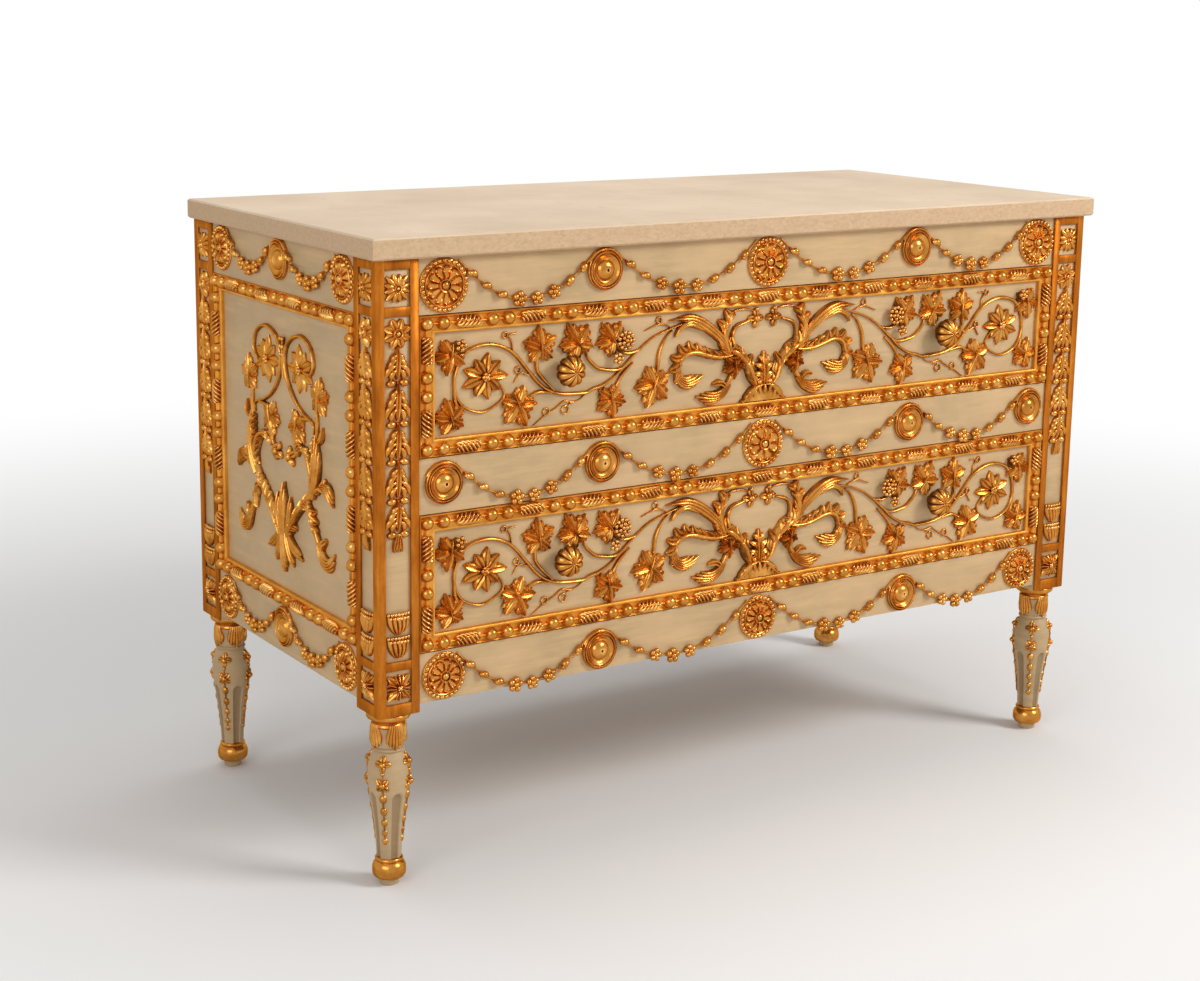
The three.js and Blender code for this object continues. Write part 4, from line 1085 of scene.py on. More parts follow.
def bead_frame(centre, width, height, reels_across, reels_up, paired_across, paired_up):
    """A mitred moulding whose channel holds the beads and reels, with a bead in each corner."""
    carving = Carving()
    add_moulding(carving, centre, width, height)
    across = width - 2 * BEAD_INSET
    up = height - 2 * BEAD_INSET
    low = (centre[0] - across / 2, centre[1] - up / 2)
    for side in (0, 1):
        row_start = (low[0], low[1] + side * up)
        column_start = (low[0] + side * across, low[1])
        add_row(carving, BEAD, row_start, (across, 0), 2)
        add_run(carving, row_start, (1, 0), across, reels_across, paired_across, side)
        add_run(carving, column_start, (0, 1), up, reels_up, paired_up, 1 - side)
        add_string(carving, row_start, (low[0] + across, row_start[1]))
        add_string(carving, column_start, (column_start[0], low[1] + up))
    return carving


def add_string(carving, start, end):
    """The thin rod that the beads and reels seem threaded on."""
    carving.add(*band([start, end], [3.4], [4.6], 7, 4, rounded, CHANNEL_HEIGHT - 2, CHANNEL_HEIGHT))


def dress_frame(place, body, ground, axis, centre, *reels):
    """The frame of a drawer or an end, as wide as its node is along the given axis. reels says how
    many lie across and up, and whether such sides begin and end with two beads."""
    node = f"{place}_bead_frame"
    low, high = corners(node)
    centre = (centre, (low[2] + high[2]) / 2)
    carving = bead_frame(centre, high[axis] - low[axis], high[2] - low[2], *reels)
    piece_from(f"{node}_carved", carving, ground, body, [node], (CHANNEL_GILT, BEAD_GILT), sunk_at=unsunk)


def dress_frames():
    for drawer in DRAWERS:
        centre = middle(f"{drawer}_bead_frame")[0]
        dress_frame(drawer, drawer, drawer_ground(drawer), 0, centre, 11, 2, True, False)
    for side, hand in HANDS:
        dress_frame(hand, "carcass", end_panel_ground(side, hand), 1, 0, 4, 4, True, True)


# Drawers' vine

def scaled(shares, scale):
    return [(u * scale[0], v * scale[1]) for u, v in shares]


def add_berries(carving, centre, radius):
    """A heap of round berries, highest in its middle."""
    reach, ring = 0.0, 0
    while reach + 0.5 * BERRY_RADIUS <= radius:
        count = 1 if ring == 0 else int(2 * math.pi * reach / (1.9 * BERRY_RADIUS))
        for index in range(count):
            spot = around(centre, reach, 2 * math.pi * index / count + 0.7 * ring)
            lift = 3 + 4.5 * math.sqrt(max(0, 1 - (reach / (radius + 2)) ** 2))
            add_pearl(carving, spot, BERRY_RADIUS, lift)
        reach += 1.75 * BERRY_RADIUS
        ring += 1


def add_quatrefoil(carving, centre, reach, turn=0.0, height=6.0):
    """A four-petalled flower with a large pearl in its middle."""
    for index in range(4):
        angle = turn + math.pi * 0.5 * index
        add_blade(carving, around(centre, 0.1 * reach, angle), around(centre, reach, angle),
                  0.8 * reach, height, grooved, BLUNT, 0, 9, 9)
    add_pearl(carving, centre, 0.4 * reach, height * 0.8)


def add_tendril(carving, line, ring, radius):
    """A thin tendril, with a small ring where it curls."""
    add_stem(carving, line, 2.7, 3)
    add_stem(carving, circle_line(ring, radius), 2.7, 3, taper=1)


# Lines of the stems of half a drawer front, as shares of the frame's opening from its axis and foot
DRAWER_STEMS = [
    [(0.265, 0.881), (0.319, 0.824), (0.364, 0.758), (0.406, 0.647), (0.433, 0.566), (0.47, 0.434),
     (0.508, 0.346), (0.546, 0.308), (0.564, 0.282), (0.634, 0.296), (0.677, 0.353), (0.706, 0.437),
     (0.735, 0.563), (0.786, 0.769), (0.852, 0.849), (0.917, 0.776), (0.944, 0.522), (0.924, 0.296),
     (0.866, 0.203), (0.811, 0.296), (0.805, 0.393), (0.837, 0.542)],
    [(0.581, 0.786), (0.568, 0.746), (0.56, 0.635), (0.535, 0.536), (0.516, 0.5), (0.47, 0.478),
     (0.44, 0.536), (0.406, 0.647)],
    [(0.489, 0.183), (0.47, 0.332), (0.451, 0.434), (0.421, 0.536)],
    [(0.706, 0.805), (0.71, 0.635), (0.703, 0.522), (0.659, 0.339)],
    [(0.75, 0.239), (0.735, 0.282), (0.706, 0.339), (0.666, 0.317)],
    [(0.961, 0.127), (0.942, 0.155), (0.935, 0.239), (0.942, 0.353), (0.944, 0.494)],
    [(0.917, 0.776), (0.946, 0.762), (0.96, 0.807)],
    [(0.478, 0.773), (0.47, 0.692), (0.44, 0.633), (0.402, 0.655)],
    [(0.356, 0.271), (0.345, 0.419), (0.339, 0.61), (0.319, 0.758), (0.3, 0.817)],
]
# Place, reach and heading of each vine leaf of a drawer front
DRAWER_LEAVES = [
    ((0.489, 0.2), 30, -100), ((0.7, 0.77), 32, 85), ((0.765, 0.24), 35, -115), ((0.955, 0.17), 30, 75),
    ((0.955, 0.79), 30, -80), ((0.59, 0.78), 34, 60), ((0.485, 0.78), 32, 55), ((0.356, 0.3), 37, -70),
]


def drawer_vine(scale):
    """Half of the arabesque of a drawer front, from its axis to one end."""
    half = Carving()

    def at(*shares):
        return scaled(shares, scale)

    for stem in DRAWER_STEMS:
        add_stem(half, at(*stem))
    for place, reach, heading in DRAWER_LEAVES:
        add_vine_leaf(half, *at(place), heading, reach)
    add_daisy(half, *at((0.859, 0.542)), DAISY_REACH)
    for place, radius in [((0.451, 0.77), 14.5), ((0.475, 0.6), 9), ((0.932, 0.87), 12)]:
        berries = Carving()
        add_berries(berries, *at(place), radius)
        half.merge(berries, at=(0, 0, 3))
    add_tendrils(half)
    add_drawer_scrolls(half, at)
    return half


def add_tendrils(half):
    """The curling tendrils between the leaves of a drawer front."""
    add_tendril(half, [(446.2, 109), (448.5, 127), (454, 136), (439, 137.4)], (459, 136), 4.4)
    add_tendril(half, [(409, 75), (424, 77), (434, 81), (444, 67)], (438, 85), 4.8)
    add_tendril(half, [(322, 41), (333, 33), (347, 30), (360, 33), (374, 24), (392, 15), (412, 2)],
                (390, 20), 5.5)
    add_tendril(half, [(345, 31), (352, 26)], (358, 20), 6)
    add_tendril(half, [(171, 124), (184, 130), (197, 132), (221, 124)], (196, 138), 4.8)


def add_drawer_scrolls(half, at):
    """The acanthus scrolls on both sides of the axis."""
    add_fan(half, at((0.121, 0.581), (0.148, 0.698), (0.186, 0.817), (0.223, 0.898), (0.262, 0.932),
                     (0.31, 0.92)), [12, 16, 20, 20, 16, 5], 3, 11)
    add_fan(half, at((0.2, 0.8), (0.235, 0.865), (0.262, 0.865), (0.284, 0.8), (0.297, 0.69)),
            [6, 12, 13, 9, 4], 2, 9)
    add_acanthus(half, at((0.11, 0.536), (0.148, 0.53), (0.186, 0.558), (0.223, 0.6), (0.258, 0.592),
                          (0.279, 0.52), (0.285, 0.42), (0.28, 0.36)), 19, 1, 11)
    add_fan(half, at((0.285, 0.45), (0.281, 0.35), (0.262, 0.28), (0.235, 0.28), (0.2, 0.335)),
            [7, 14, 22, 27, 30], 5, 9)
    add_vine_leaf(half, *at((0.103, 0.41)), -95, 22, 11.5)
    add_stem(half, at((0.104, 0.36), (0.111, 0.26), (0.13, 0.17)), 9, 7)
    add_blade(half, *at((0.122, 0.17), (0.168, 0.225)), 11, 9, grooved, BLUNT, 0.2)
    add_fan(half, at((0.115, 0.22), (0.135, 0.135), (0.17, 0.085), (0.22, 0.115)), [9, 17, 25, 30], 5, 9)
    add_acanthus(half, at((0.112, 0.5), (0.131, 0.64), (0.134, 0.76), (0.124, 0.875)), 19, -1, 10, both=True)
    add_stem(half, at((0.103, 0.6), (0.106, 0.72), (0.094, 0.8), (0.055, 0.85)), 6.5, 7)
    add_stem(half, at((0.125, 0.86), (0.112, 0.94), (0.085, 0.972), (0.052, 0.965), (0.032, 0.93)),
             3, 3.6, taper=1)
    add_stem(half, at((0.118, 0.56), (0.075, 0.49), (0.051, 0.373), (0.042, 0.258), (0.026, 0.17)), 17, 9)
    add_acanthus(half, at((0.024, 0.19), (0.036, 0.28), (0.046, 0.38), (0.07, 0.48)), 18, 1, 13)
    add_acanthus(half, at((0.062, 0.45), (0.085, 0.54), (0.12, 0.61)), 22, 1, 13)
    add_acanthus(half, at((0.06, 0.37), (0.078, 0.45), (0.11, 0.52)), 17, -1, 12)
    add_blade(half, *at((0.13, 0.56), (0.085, 0.6)), 9, 12, grooved, BLUNT)
    add_quatrefoil(half, *at((0.03, 0.868)), 15)
    add_pearl(half, *at((0.03, 0.962)), 3.6, 4)


def drawer_carving(scale):
    """The whole arabesque: both halves of the vine, and the palm and gadrooned foot on the axis."""
    whole = mirrored_pair(drawer_vine(scale))
    add_palm(whole)
    add_gadrooned_foot(whole, 45, 26)
    return whole


def add_palm(carving):
    """The upright leaf on the axis with its leaflets."""
    for side in (-1, 1):
        for lift, reach, rise in [(26, 20, 5), (31, 20, 13), (41, 16, 17), (53, 9.5, 16)]:
            add_blade(carving, (side * 2, lift), (side * reach, lift + rise), 12, 9, hollowed, LEAFLET,
                      0.2 * side)
        add_pearl(carving, (side * 10, 30), 4.5, 6)
    add_blade(carving, (0, 24), (0, 77), 13, 12, grooved, BLUNT, 0, 16, 11)


def add_gadrooned_foot(carving, width, height):
    """A low dome of gadroons that fall from its crown to the frame, with a plain heart below."""
    flutes = 11
    angles = np.linspace(0.02, math.pi - 0.02, 37)
    shares = np.linspace(1, 0.06, 7)
    grid_r, grid_a = np.meshgrid(shares, angles)
    u = grid_r * (width - 6) * np.cos(grid_a)
    v = 1 + grid_r * (height - 5) * np.sin(grid_a)
    w = 4 + 3.4 * np.sqrt(np.clip(1 - grid_r ** 2, 0, 1))
    carving.add(*closed_under(np.stack([u, v, w], -1), -SEAT))
    for index in range(flutes):
        lean = 2 * index / (flutes - 1) - 1
        angle = math.pi / 2 * (1 - 0.96 * lean)
        top = (0.22 * width * lean, height)
        shoulder = (0.78 * width * math.cos(angle), 3 + 0.82 * height * math.sin(angle))
        reach = 1 if abs(lean) > 0.35 else 0.62
        low = (width * lean * (0.95 if reach == 1 else 0.8), 1.5 + (1 - reach) * height * 0.8)
        carving.add(*band([top, shoulder, low], [5, 7.4, 7.6, 5], [9, 11, 10, 7], 9, 12, rounded))


# Ends' vine

def end_vine(scale):
    """Half of the arabesque of an end panel."""
    half = Carving()

    def at(*shares):
        return scaled(shares, scale)

    add_stem(half, at((0.47, 0.6), (0.463, 0.634), (0.3, 0.66), (0.168, 0.698), (0.063, 0.762),
                      (0.03, 0.836), (0.105, 0.895), (0.273, 0.922), (0.42, 0.895), (0.473, 0.836),
                      (0.4, 0.794), (0.3, 0.81)), 5.8, 6)
    add_daisy(half, *at((0.264, 0.805)), 39, 6.5)
    add_stem(half, at((0.5, 0.56), (0.515, 0.62), (0.51, 0.69)), 7)
    add_vine_leaf(half, *at((0.55, 0.725)), 85, 33, 7)
    add_stem(half, at((0.41, 0.645), (0.3, 0.64), (0.2, 0.63)), 7)
    add_vine_leaf(half, *at((0.21, 0.605)), -105, 33, 7)
    add_fan(half, at((0.44, 0.38), (0.5, 0.44), (0.525, 0.5), (0.525, 0.55), (0.51, 0.605)),
            [15, 18, 20, 18, 15], 5, 11)
    add_blade(half, *at((0.52, 0.57), (0.6, 0.635)), 9, 9, grooved, LEAFLET, -0.2)
    add_acanthus(half, at((0.42, 0.41), (0.47, 0.47), (0.48, 0.52), (0.475, 0.57)), 13, 1, 12)
    add_stem(half, at((0.513, 0.47), (0.46, 0.42), (0.379, 0.37), (0.231, 0.31), (0.125, 0.262),
                      (0.05, 0.19)), 14, 9)
    add_acanthus(half, at((0.06, 0.2), (0.13, 0.26), (0.24, 0.315), (0.38, 0.375)), 15, 1, 12)
    add_acanthus(half, at((0.44, 0.4), (0.44, 0.46), (0.38, 0.515), (0.3, 0.53), (0.24, 0.52)), 15, 1, 11)
    add_stem(half, at((0.3, 0.54), (0.22, 0.545), (0.16, 0.51)), 6, 6)
    add_quatrefoil(half, *at((0.105, 0.49)), 16, 0.5, 8)
    add_acanthus(half, at((0.47, 0.4), (0.56, 0.43), (0.66, 0.42)), 17, 1, 10)
    add_fan(half, at((0.58, 0.43), (0.68, 0.43), (0.75, 0.375)), [13, 21, 17], 5, 10)
    add_acanthus(half, at((0.27, 0.33), (0.36, 0.345), (0.43, 0.32), (0.47, 0.28)), 15, 1, 11, both=True)
    add_stem(half, at((0.45, 0.3), (0.51, 0.25), (0.57, 0.2)), 9, 8)
    add_fan(half, at((0.53, 0.235), (0.6, 0.18), (0.69, 0.17), (0.76, 0.215)), [10, 19, 26, 28], 5, 9)
    add_blade(half, *at((0.58, 0.2), (0.64, 0.25)), 13, 9, grooved, BLUNT, 0.2)
    return half


def end_carving(scale):
    """The whole arabesque of an end: both halves, and the bud, palm and tassel on the axis."""
    whole = mirrored_pair(end_vine(scale))

    def at(*shares, side=1):
        return [(side * u * scale[0], v * scale[1]) for u, v in shares]

    add_stem(whole, at((0, 0.76), (0, 0.82), (0, 0.9)), 5, 5, taper=1)
    for level, radius in ((0.84, 3.4), (0.868, 4.2), (0.895, 3.6)):
        for side in (1, -1):
            add_pearl(whole, *at((0.018, level), side=side), radius, 4.6)
    for side in (-1, 1):
        add_fan(whole, at((0.05, 0.2), (0.09, 0.27), (0.1, 0.345), side=side), [12, 17, 9], 3, 10)
        add_fan(whole, at((0.05, 0.215), (0.14, 0.17), (0.27, 0.135), side=side), [9, 18, 18], 3, 9)
        add_fan(whole, at((0.03, 0.21), (0.08, 0.15), (0.13, 0.095), side=side), [9, 15, 15], 3, 10)
        add_acanthus(whole, at((0.09, 0.215), (0.14, 0.235), side=side), 12, -side, 11)
    add_fan(whole, at((0, 0.2), (0, 0.27), (0, 0.33), (0, 0.39)), [17, 22, 21, 9], 3, 12.5)
    add_fan(whole, at((0, 0.215), (0, 0.15), (0, 0.065)), [12, 19, 14], 3, 12)
    return whole


def dress_arabesque(place, body, ground, axis, carved):
    """The arabesque of a drawer or an end, drawn to the opening of its frame."""
    low, high = corners(f"{place}_bead_frame")
    scale = ((high[axis] - low[axis]) / 2 - FRAME_WIDTH, high[2] - low[2] - 2 * FRAME_WIDTH)
    carving = moved(carved(scale), 0, low[2] + FRAME_WIDTH, 0)
    piece_from(f"{place}_arabesque", carving, ground, body, [f"{place}_carving"])


def dress_arabesques():
    for drawer in DRAWERS:
        dress_arabesque(drawer, drawer, drawer_ground(drawer), 0, drawer_carving)
    for side, hand in HANDS:
        dress_arabesque(hand, "carcass", end_panel_ground(side, hand), 1, end_carving)


# Garlands

def add_medallion(carving, kind, centre, radius, petals):
    if kind == "rosette":
        add_rosette(carving, centre, radius, petals)
        add_pearls(carving, centre, radius - 3.7, 3.3, int(2 * math.pi * (radius - 3.7) / 7.5), 2.6)
    else:
        add_roundel(carving, centre, radius)


def garland(medallions, buds, sag, lead, cluster_reach, petals=11):
    """Rosettes and roundels in a row, with a swag hung between each two. The berries of a swag hang
    off its middle by lead, away from a rosette, and its string passes over a roundel."""
    carving = Carving()
    for kind, centre, radius in medallions:
        add_medallion(carving, kind, centre, radius, petals)
        if kind == "roundel":
            arc = [around(centre, radius + 0.8, math.radians(angle)) for angle in range(155, 20, -13)]
            add_stem(carving, arc, 4.6, 5.5, taper=1)
    for index, (first, second) in enumerate(zip(medallions, medallions[1:])):
        (_, left, left_radius), (_, right, right_radius) = first, second
        start = (left[0] + 0.6 * left_radius, left[1] + 0.9 * left_radius)
        end = (right[0] - 0.6 * right_radius, right[1] + 0.9 * right_radius)
        middle_share = 0.5 + lead * (1 if index % 2 == 0 else -1)
        add_swag(carving, start, end, sag, buds, middle_share, cluster_reach)
    return carving


ROUNDEL_RADIUS = 29.5
# Front rails: radii of the outer and the middle medallion, drop of the roundels below the rail's top,
# and petals of the rosettes. The outer medallions of the middle rail are roundels.
FRONT_ROWS = [
    ("top", 38, 38, 34.5, 11), ("middle", ROUNDEL_RADIUS, 38, 37, 8), ("bottom", 35, 35, 42, 11)]
FRONT_SPOTS = (-560, -296, 0, 296, 560)
# End rails: place and radius of the rosettes, and drop of the rosettes and of the roundel
END_SPOT = 205
END_ROSETTE = 35
END_DROPS = (37, 33)


def dress_garlands():
    for row, outer, centre, drop, petals in FRONT_ROWS:
        low, high = corners(f"front_{row}_rail")
        medallions = []
        for u, radius in zip(FRONT_SPOTS, (outer, ROUNDEL_RADIUS, centre, ROUNDEL_RADIUS, outer)):
            kind = "roundel" if radius == ROUNDEL_RADIUS else "rosette"
            lift = high[2] - (drop if kind == "roundel" else radius + 2)
            medallions.append((kind, (u, lift), radius))
        carving = garland(medallions, buds=8, sag=61, lead=0.045, cluster_reach=0.13, petals=petals)
        dress_garland(f"front_{row}", carving, front_ground(low[1] - SEAT))
    for side, hand in HANDS:
        for row in ("top", "bottom"):
            low, high = corners(f"{hand}_{row}_rail")
            lift, roundel_lift = [high[2] - drop for drop in END_DROPS]
            medallions = [
                ("rosette", (-END_SPOT, lift), END_ROSETTE), ("roundel", (0, roundel_lift), ROUNDEL_RADIUS),
                ("rosette", (END_SPOT, lift), END_ROSETTE)]
            ground = end_ground(side, max(abs(low[0]), abs(high[0])) + SEAT, end_middle(hand))
            carving = garland(medallions, buds=7, sag=50, lead=0, cluster_reach=0.14)
            dress_garland(f"{hand}_{row}", carving, ground)


def dress_garland(place, carving, ground):
    piece_from(f"{place}_rail_garland", carving, ground, "carcass", [f"{place}_garland"],
               sunk_at=lightly_sunk)


# Knobs

def melon_knob():
    """A melon of ten lobes with sharp grooves that meet at its front, on a short neck."""
    carving = Carving()
    half = KNOB_DEPTH / 2
    centre = KNOB_NECK + half
    outline = [(10, -SEAT), (10, KNOB_NECK)]
    for index in range(28):
        turn = math.radians(-62 + 148 * index / 27)
        outline.append((KNOB_RADIUS * math.cos(turn) ** 0.92, centre + half * math.sin(turn)))
    outline.append((0, centre + 0.87 * half))

    def groove(angle, share):
        sharp = (1 - np.abs(np.sin(KNOB_LOBES / 2 * angle))) ** 2
        return sharp * np.clip((share - 0.05) / 0.15, 0, 1)

    def pressed(radius, angle, share):
        return radius * (1.02 - 0.19 * groove(angle, share))

    def sunk(height, angle, share):
        return centre + (height - centre) * (1 - 0.17 * groove(angle, share))

    carving.add(*lathe(outline, 12 * KNOB_LOBES, pressed, (0, 0), sunk))
    return carving


def dress_knobs():
    knob = melon_knob()
    for drawer in DRAWERS:
        for _, hand in HANDS:
            node = f"{drawer}_{hand}_knob"
            spot = middle(node)
            carving = moved(knob, 0, spot[2], 0)
            piece_from(f"{node}_melon", carving, drawer_ground(drawer, spot[0]), drawer, [node])


# Posts

WORLD = Ground((0, 0, 0), (1, 0, 0), (0, 1, 0), (0, 0, 1))
BAR_CORNERS = [(x, y, z) for x in (-1, 1) for y in (-1, 1) for z in (-1, 1)]


def bar_point(sign, side):
    """The point that a corner of an eased bar has on one of its three sides."""
    return 3 * BAR_CORNERS.index(tuple(sign)) + side


def bar_faces():
    """The sides and eased arrises of a bar, and its corners."""
    quads = []
    for axis in range(3):
        second, third = (axis + 1) % 3, (axis + 2) % 3
        for way in (-1, 1):
            ring = []
            for a, b in ((-1, -1), (1, -1), (1, 1), (-1, 1)):
                sign = [0, 0, 0]
                sign[axis], sign[second], sign[third] = way, a, b
                ring.append(bar_point(sign, axis))
            quads.append(ring)
            for other in (-1, 1):
                arris = []
                for end, side in ((-1, axis), (1, axis), (1, second), (-1, second)):
                    sign = [0, 0, 0]
                    sign[axis], sign[second], sign[third] = way, other, end
                    arris.append(bar_point(sign, side))
                quads.append(arris)
    return np.array(quads), np.array([[bar_point(sign, side) for side in range(3)] for sign in BAR_CORNERS])


def turned_outward(faces, points):
    """Faces of a convex body, turned where needed to look away from its middle."""
    spots = points[faces]
    normals = np.cross(spots[:, 1] - spots[:, 0], spots[:, 2] - spots[:, 0])
    inward = (normals * (spots.mean(1) - points.mean(0))).sum(1) < 0
    faces[inward] = faces[inward][:, ::-1]
    return faces


def add_bar(carving, low, high, ease=EASE):
    """A straight bar between two corners, with all its arrises eased."""
    signs = np.array(BAR_CORNERS)
    ends = np.where(signs > 0, np.maximum(low, high), np.minimum(low, high))
    points = (ends[:, None] - signs[:, None] * ease * (1 - np.eye(3))).reshape(-1, 3)
    carving.add(points, [turned_outward(faces, points) for faces in bar_faces()])


def add_angle(carving, x, y, side, heights):
    """The upright L-shaped band that wraps the outer arris of a front post, at x and y."""
    section = [
        (POST_BAND, 0), (POST_BAND, POST_SINK), (POST_SINK, POST_SINK), (POST_SINK, POST_BAND),
        (0, POST_BAND), (0, EASE), (EASE, 0)]
    ring = np.array([(x - side * a, y + b) for a, b in section])
    area = (ring[:, 0] * np.roll(ring[:, 1], -1) - np.roll(ring[:, 0], -1) * ring[:, 1]).sum()
    if area < 0:
        ring = ring[::-1]
    count = len(ring)
    points = np.concatenate([np.column_stack([ring, np.full(count, height)]) for height in heights])
    low = np.arange(count)
    high = low + count
    walls = np.stack([low, np.roll(low, -1), np.roll(high, -1), high], -1)
    carving.add(points, [walls, low[None, ::-1], high[None]])


# A post's sunk fields: how far they stay from its foot and its top, and how high the end ones are
FIELD_FOOT = 17.5
FIELD_HEAD = 14
LOW_FIELD = 49
HIGH_FIELD = 51


def post_fields(low, high):
    """Lowest and highest point of each sunk field of a post."""
    bottom, top = low + FIELD_FOOT, high - FIELD_HEAD
    return [(bottom, bottom + LOW_FIELD), (bottom + LOW_FIELD + POST_BAND, top - HIGH_FIELD - POST_BAND),
            (top - HIGH_FIELD, top)]


def post_ornament(fields):
    """The carving of one post face: pateras, a flower over five husks, a drop and a basket."""
    carving = Carving()
    bottom, long, top = [((low + high) / 2, low, high) for low, high in fields]
    add_patera(carving, (0, top[0]), 20.5, 12, 0.27)
    add_cross_patera(carving, (0, bottom[0]), 19)
    height = long[2] - long[1]
    add_patera(carving, (0, long[2] - 0.048 * height), 21, 8, 0.36)
    mouths = [0.826, 0.709, 0.6, 0.487, 0.39]
    throats = [0.912, *[share - 0.012 for share in mouths[:-1]]]
    for throat, mouth in zip(throats, mouths):
        add_husk(carving, long[1] + throat * height, long[1] + mouth * height)
    for lean in (-1, 0, 1):
        add_blade(carving, (2 * lean, long[1] + 0.378 * height), (6 * lean, long[1] + 0.325 * height),
                  8, 7, grooved, BLUNT)
    for level in (0.012, 0.082):
        add_tier(carving, long[1] + level * height, 36, 26)
    return carving


def add_patera(carving, centre, reach, petals, eye):
    """A round flower of blunt petals with a ringed eye."""
    for index in range(petals):
        angle = 2 * math.pi * (index + 0.5) / petals
        length = reach * (1 - 0.1 * math.cos(4 * angle))
        add_blade(carving, around(centre, 0.5 * eye * reach, angle), around(centre, length, angle),
                  5.2 * reach / petals, 7 - index % 2, grooved if petals < 10 else rounded, BLUNT, 0, 9, 9)
    ring = [
        (1, 0), (1, 7.4), (0.86, 8.4), (0.7, 7.6), (0.6, 4.8), (0.46, 5), (0.4, 7.4), (0.2, 8.6), (0, 8.8)]
    carving.add(*lathe([(share * eye * reach, level) for share, level in ring], 20, centre=centre))


def add_cross_patera(carving, centre, reach):
    """A square flower: a hollow leaf to each corner, and three raised ribs to each side between them."""
    for index in range(4):
        angle = math.pi * (0.25 + 0.5 * index)
        add_blade(carving, around(centre, 0.1 * reach, angle), around(centre, 1.24 * reach, angle),
                  0.62 * reach, 7, grooved, BLUNT, 0, 10, 9)
        for lean in (-0.34, 0, 0.34):
            way = angle + math.pi / 4 + lean
            tip = around(centre, (1 - 0.1 * abs(lean)) * reach, way)
            add_blade(carving, around(centre, 0.16 * reach, way), tip, 0.2 * reach, 8.6,
                      rounded, FINGER, 0.16 * lean, 8, 6)
        add_pearl(carving, around(centre, 0.13 * reach, angle), 0.1 * reach, 7.6)
    add_pearl(carving, centre, 0.13 * reach, 8.6)


# Leaflets of a husk: where each starts on the rib, how far it reaches aside, and where it ends
HUSK_LEAFLETS = ((0.82, 7, 0.5), (0.66, 12.5, 0.26), (0.46, 18.5, 0.04), (0.32, 10, -0.06))


def add_husk(carving, top, mouth):
    """A bell husk: leaflets that spread from a falling rib, with a pair of berries at its mouth."""
    drop = top - mouth
    for lean in (-1, 1):
        for spring, reach, fall in HUSK_LEAFLETS:
            add_blade(carving, (lean * 1.5, mouth + spring * drop), (lean * reach, mouth + fall * drop),
                      9.8, 7.6, rounded, HUSK, 0.16 * lean, 10, 7)
        add_pearl(carving, (lean * 10, mouth - 6.6), 5.6, 2.2, 1.4, -0.2 * lean)
    add_blade(carving, (0, top + 2), (0, mouth - 0.04 * drop), 11, 9, grooved, HUSK, 0, 12, 9)


def add_tier(carving, foot, width, height):
    """One tier of the basket: a gadrooned bowl with a row of berries on its rim."""
    def gadroons(x):
        flute = np.abs(np.cos(2.5 * np.pi * x)) ** 0.7
        return np.sqrt(np.clip(1 - 0.8 * x ** 2, 0, 1)) * (0.45 + 0.6 * flute)

    widths = width * np.array([0.34, 0.66, 0.84, 0.94, 0.98, 1])
    line = [(0, foot), (0, foot + height)]
    carving.add(*band(line, widths, [4, 7.4, 8.6, 8.8, 7.6, 6], 41, 12, gadroons))
    for index in range(7):
        across = (index / 6 - 0.5) * (width - 5)
        add_pearl(carving, (across, foot + height + 2.6), 3.1, 4 - 0.01 * across ** 2)
        if index < 6:
            add_pearl(carving, (across + width / 14, foot + height - 2.6), 3.1, 6.4 - 0.012 * across ** 2)


def dress_posts():
    for depth_name in ("front", "back"):
        for side, hand in HANDS:
            dress_post(f"post_{depth_name}_{hand}", side, hand, depth_name == "front")


def dress_post(node, side, hand, in_front):
    """One post: painted core, matte gilded bands and burnished carving, on the faces that are shown."""
    low, high = corners(node)
    heights = low[2], high[2]
    outer = side * (abs(corners(f"{hand}_top_rail")[side > 0][0]) + POST_SINK)
    inner = outer - side * POST_SIZE
    if in_front:
        front = corners("front_top_rail")[0][1] - POST_SINK
        back = front + POST_SIZE
    else:
        back = high[1]
        front = back - POST_SIZE
    core, bands = Carving(), Carving()
    fields = post_fields(*heights)
    core_front = front + POST_SINK if in_front else front
    add_bar(core, (inner, core_front, heights[0]), (outer - side * POST_SINK, back, heights[1]), EASE / 2)
    if in_front:
        add_angle(bands, outer, front, side, heights)
        add_front_bands(bands, side, front, inner, outer, fields, heights)
        add_side_bands(bands, side, outer, front + POST_BAND, back, fields, heights, False)
    else:
        add_side_bands(bands, side, outer, front, back, fields, heights, True)
    place_ornament(node, side, in_front, fields, (inner + outer) / 2, (front + back) / 2, front, outer)
    dress(f"{node}_painted", core, node, CREAM)
    dress(f"{node}_bands", bands, node, BAND)


def dress(name, carving, node, finish, sunk_at=unsunk):
    piece_from(name, carving, WORLD, "carcass", [node], [finish], sunk_at)


def add_front_bands(bands, side, front, inner, outer, fields, heights):
    """Bands of a post's front face, beside the angle on its outer arris."""
    y0, y1 = front, front + POST_SINK
    strip = inner + side * POST_BAND
    add_bar(bands, (inner, y0, heights[0]), (strip, y1, heights[1]))
    for z0, z1 in between(fields, heights):
        add_bar(bands, (strip, y0, z0), (outer - side * POST_BAND, y1, z1))


def add_side_bands(bands, side, outer, front, back, fields, heights, both):
    """Bands of a post's side face. both says that the face has no angle on its front arris."""
    x0, x1 = outer - side * POST_SINK, outer
    start = front
    if both:
        start = front + POST_BAND
        add_bar(bands, (x0, front, heights[0]), (x1, start, heights[1]))
    add_bar(bands, (x0, back - POST_BAND, heights[0]), (x1, back, heights[1]))
    for z0, z1 in between(fields, heights):
        add_bar(bands, (x0, start, z0), (x1, back - POST_BAND, z1))


def between(fields, heights):
    """The levels between which a post's face is not sunk."""
    edges = [heights[0], *[level for field in fields for level in field], heights[1]]
    return list(zip(edges[::2], edges[1::2]))


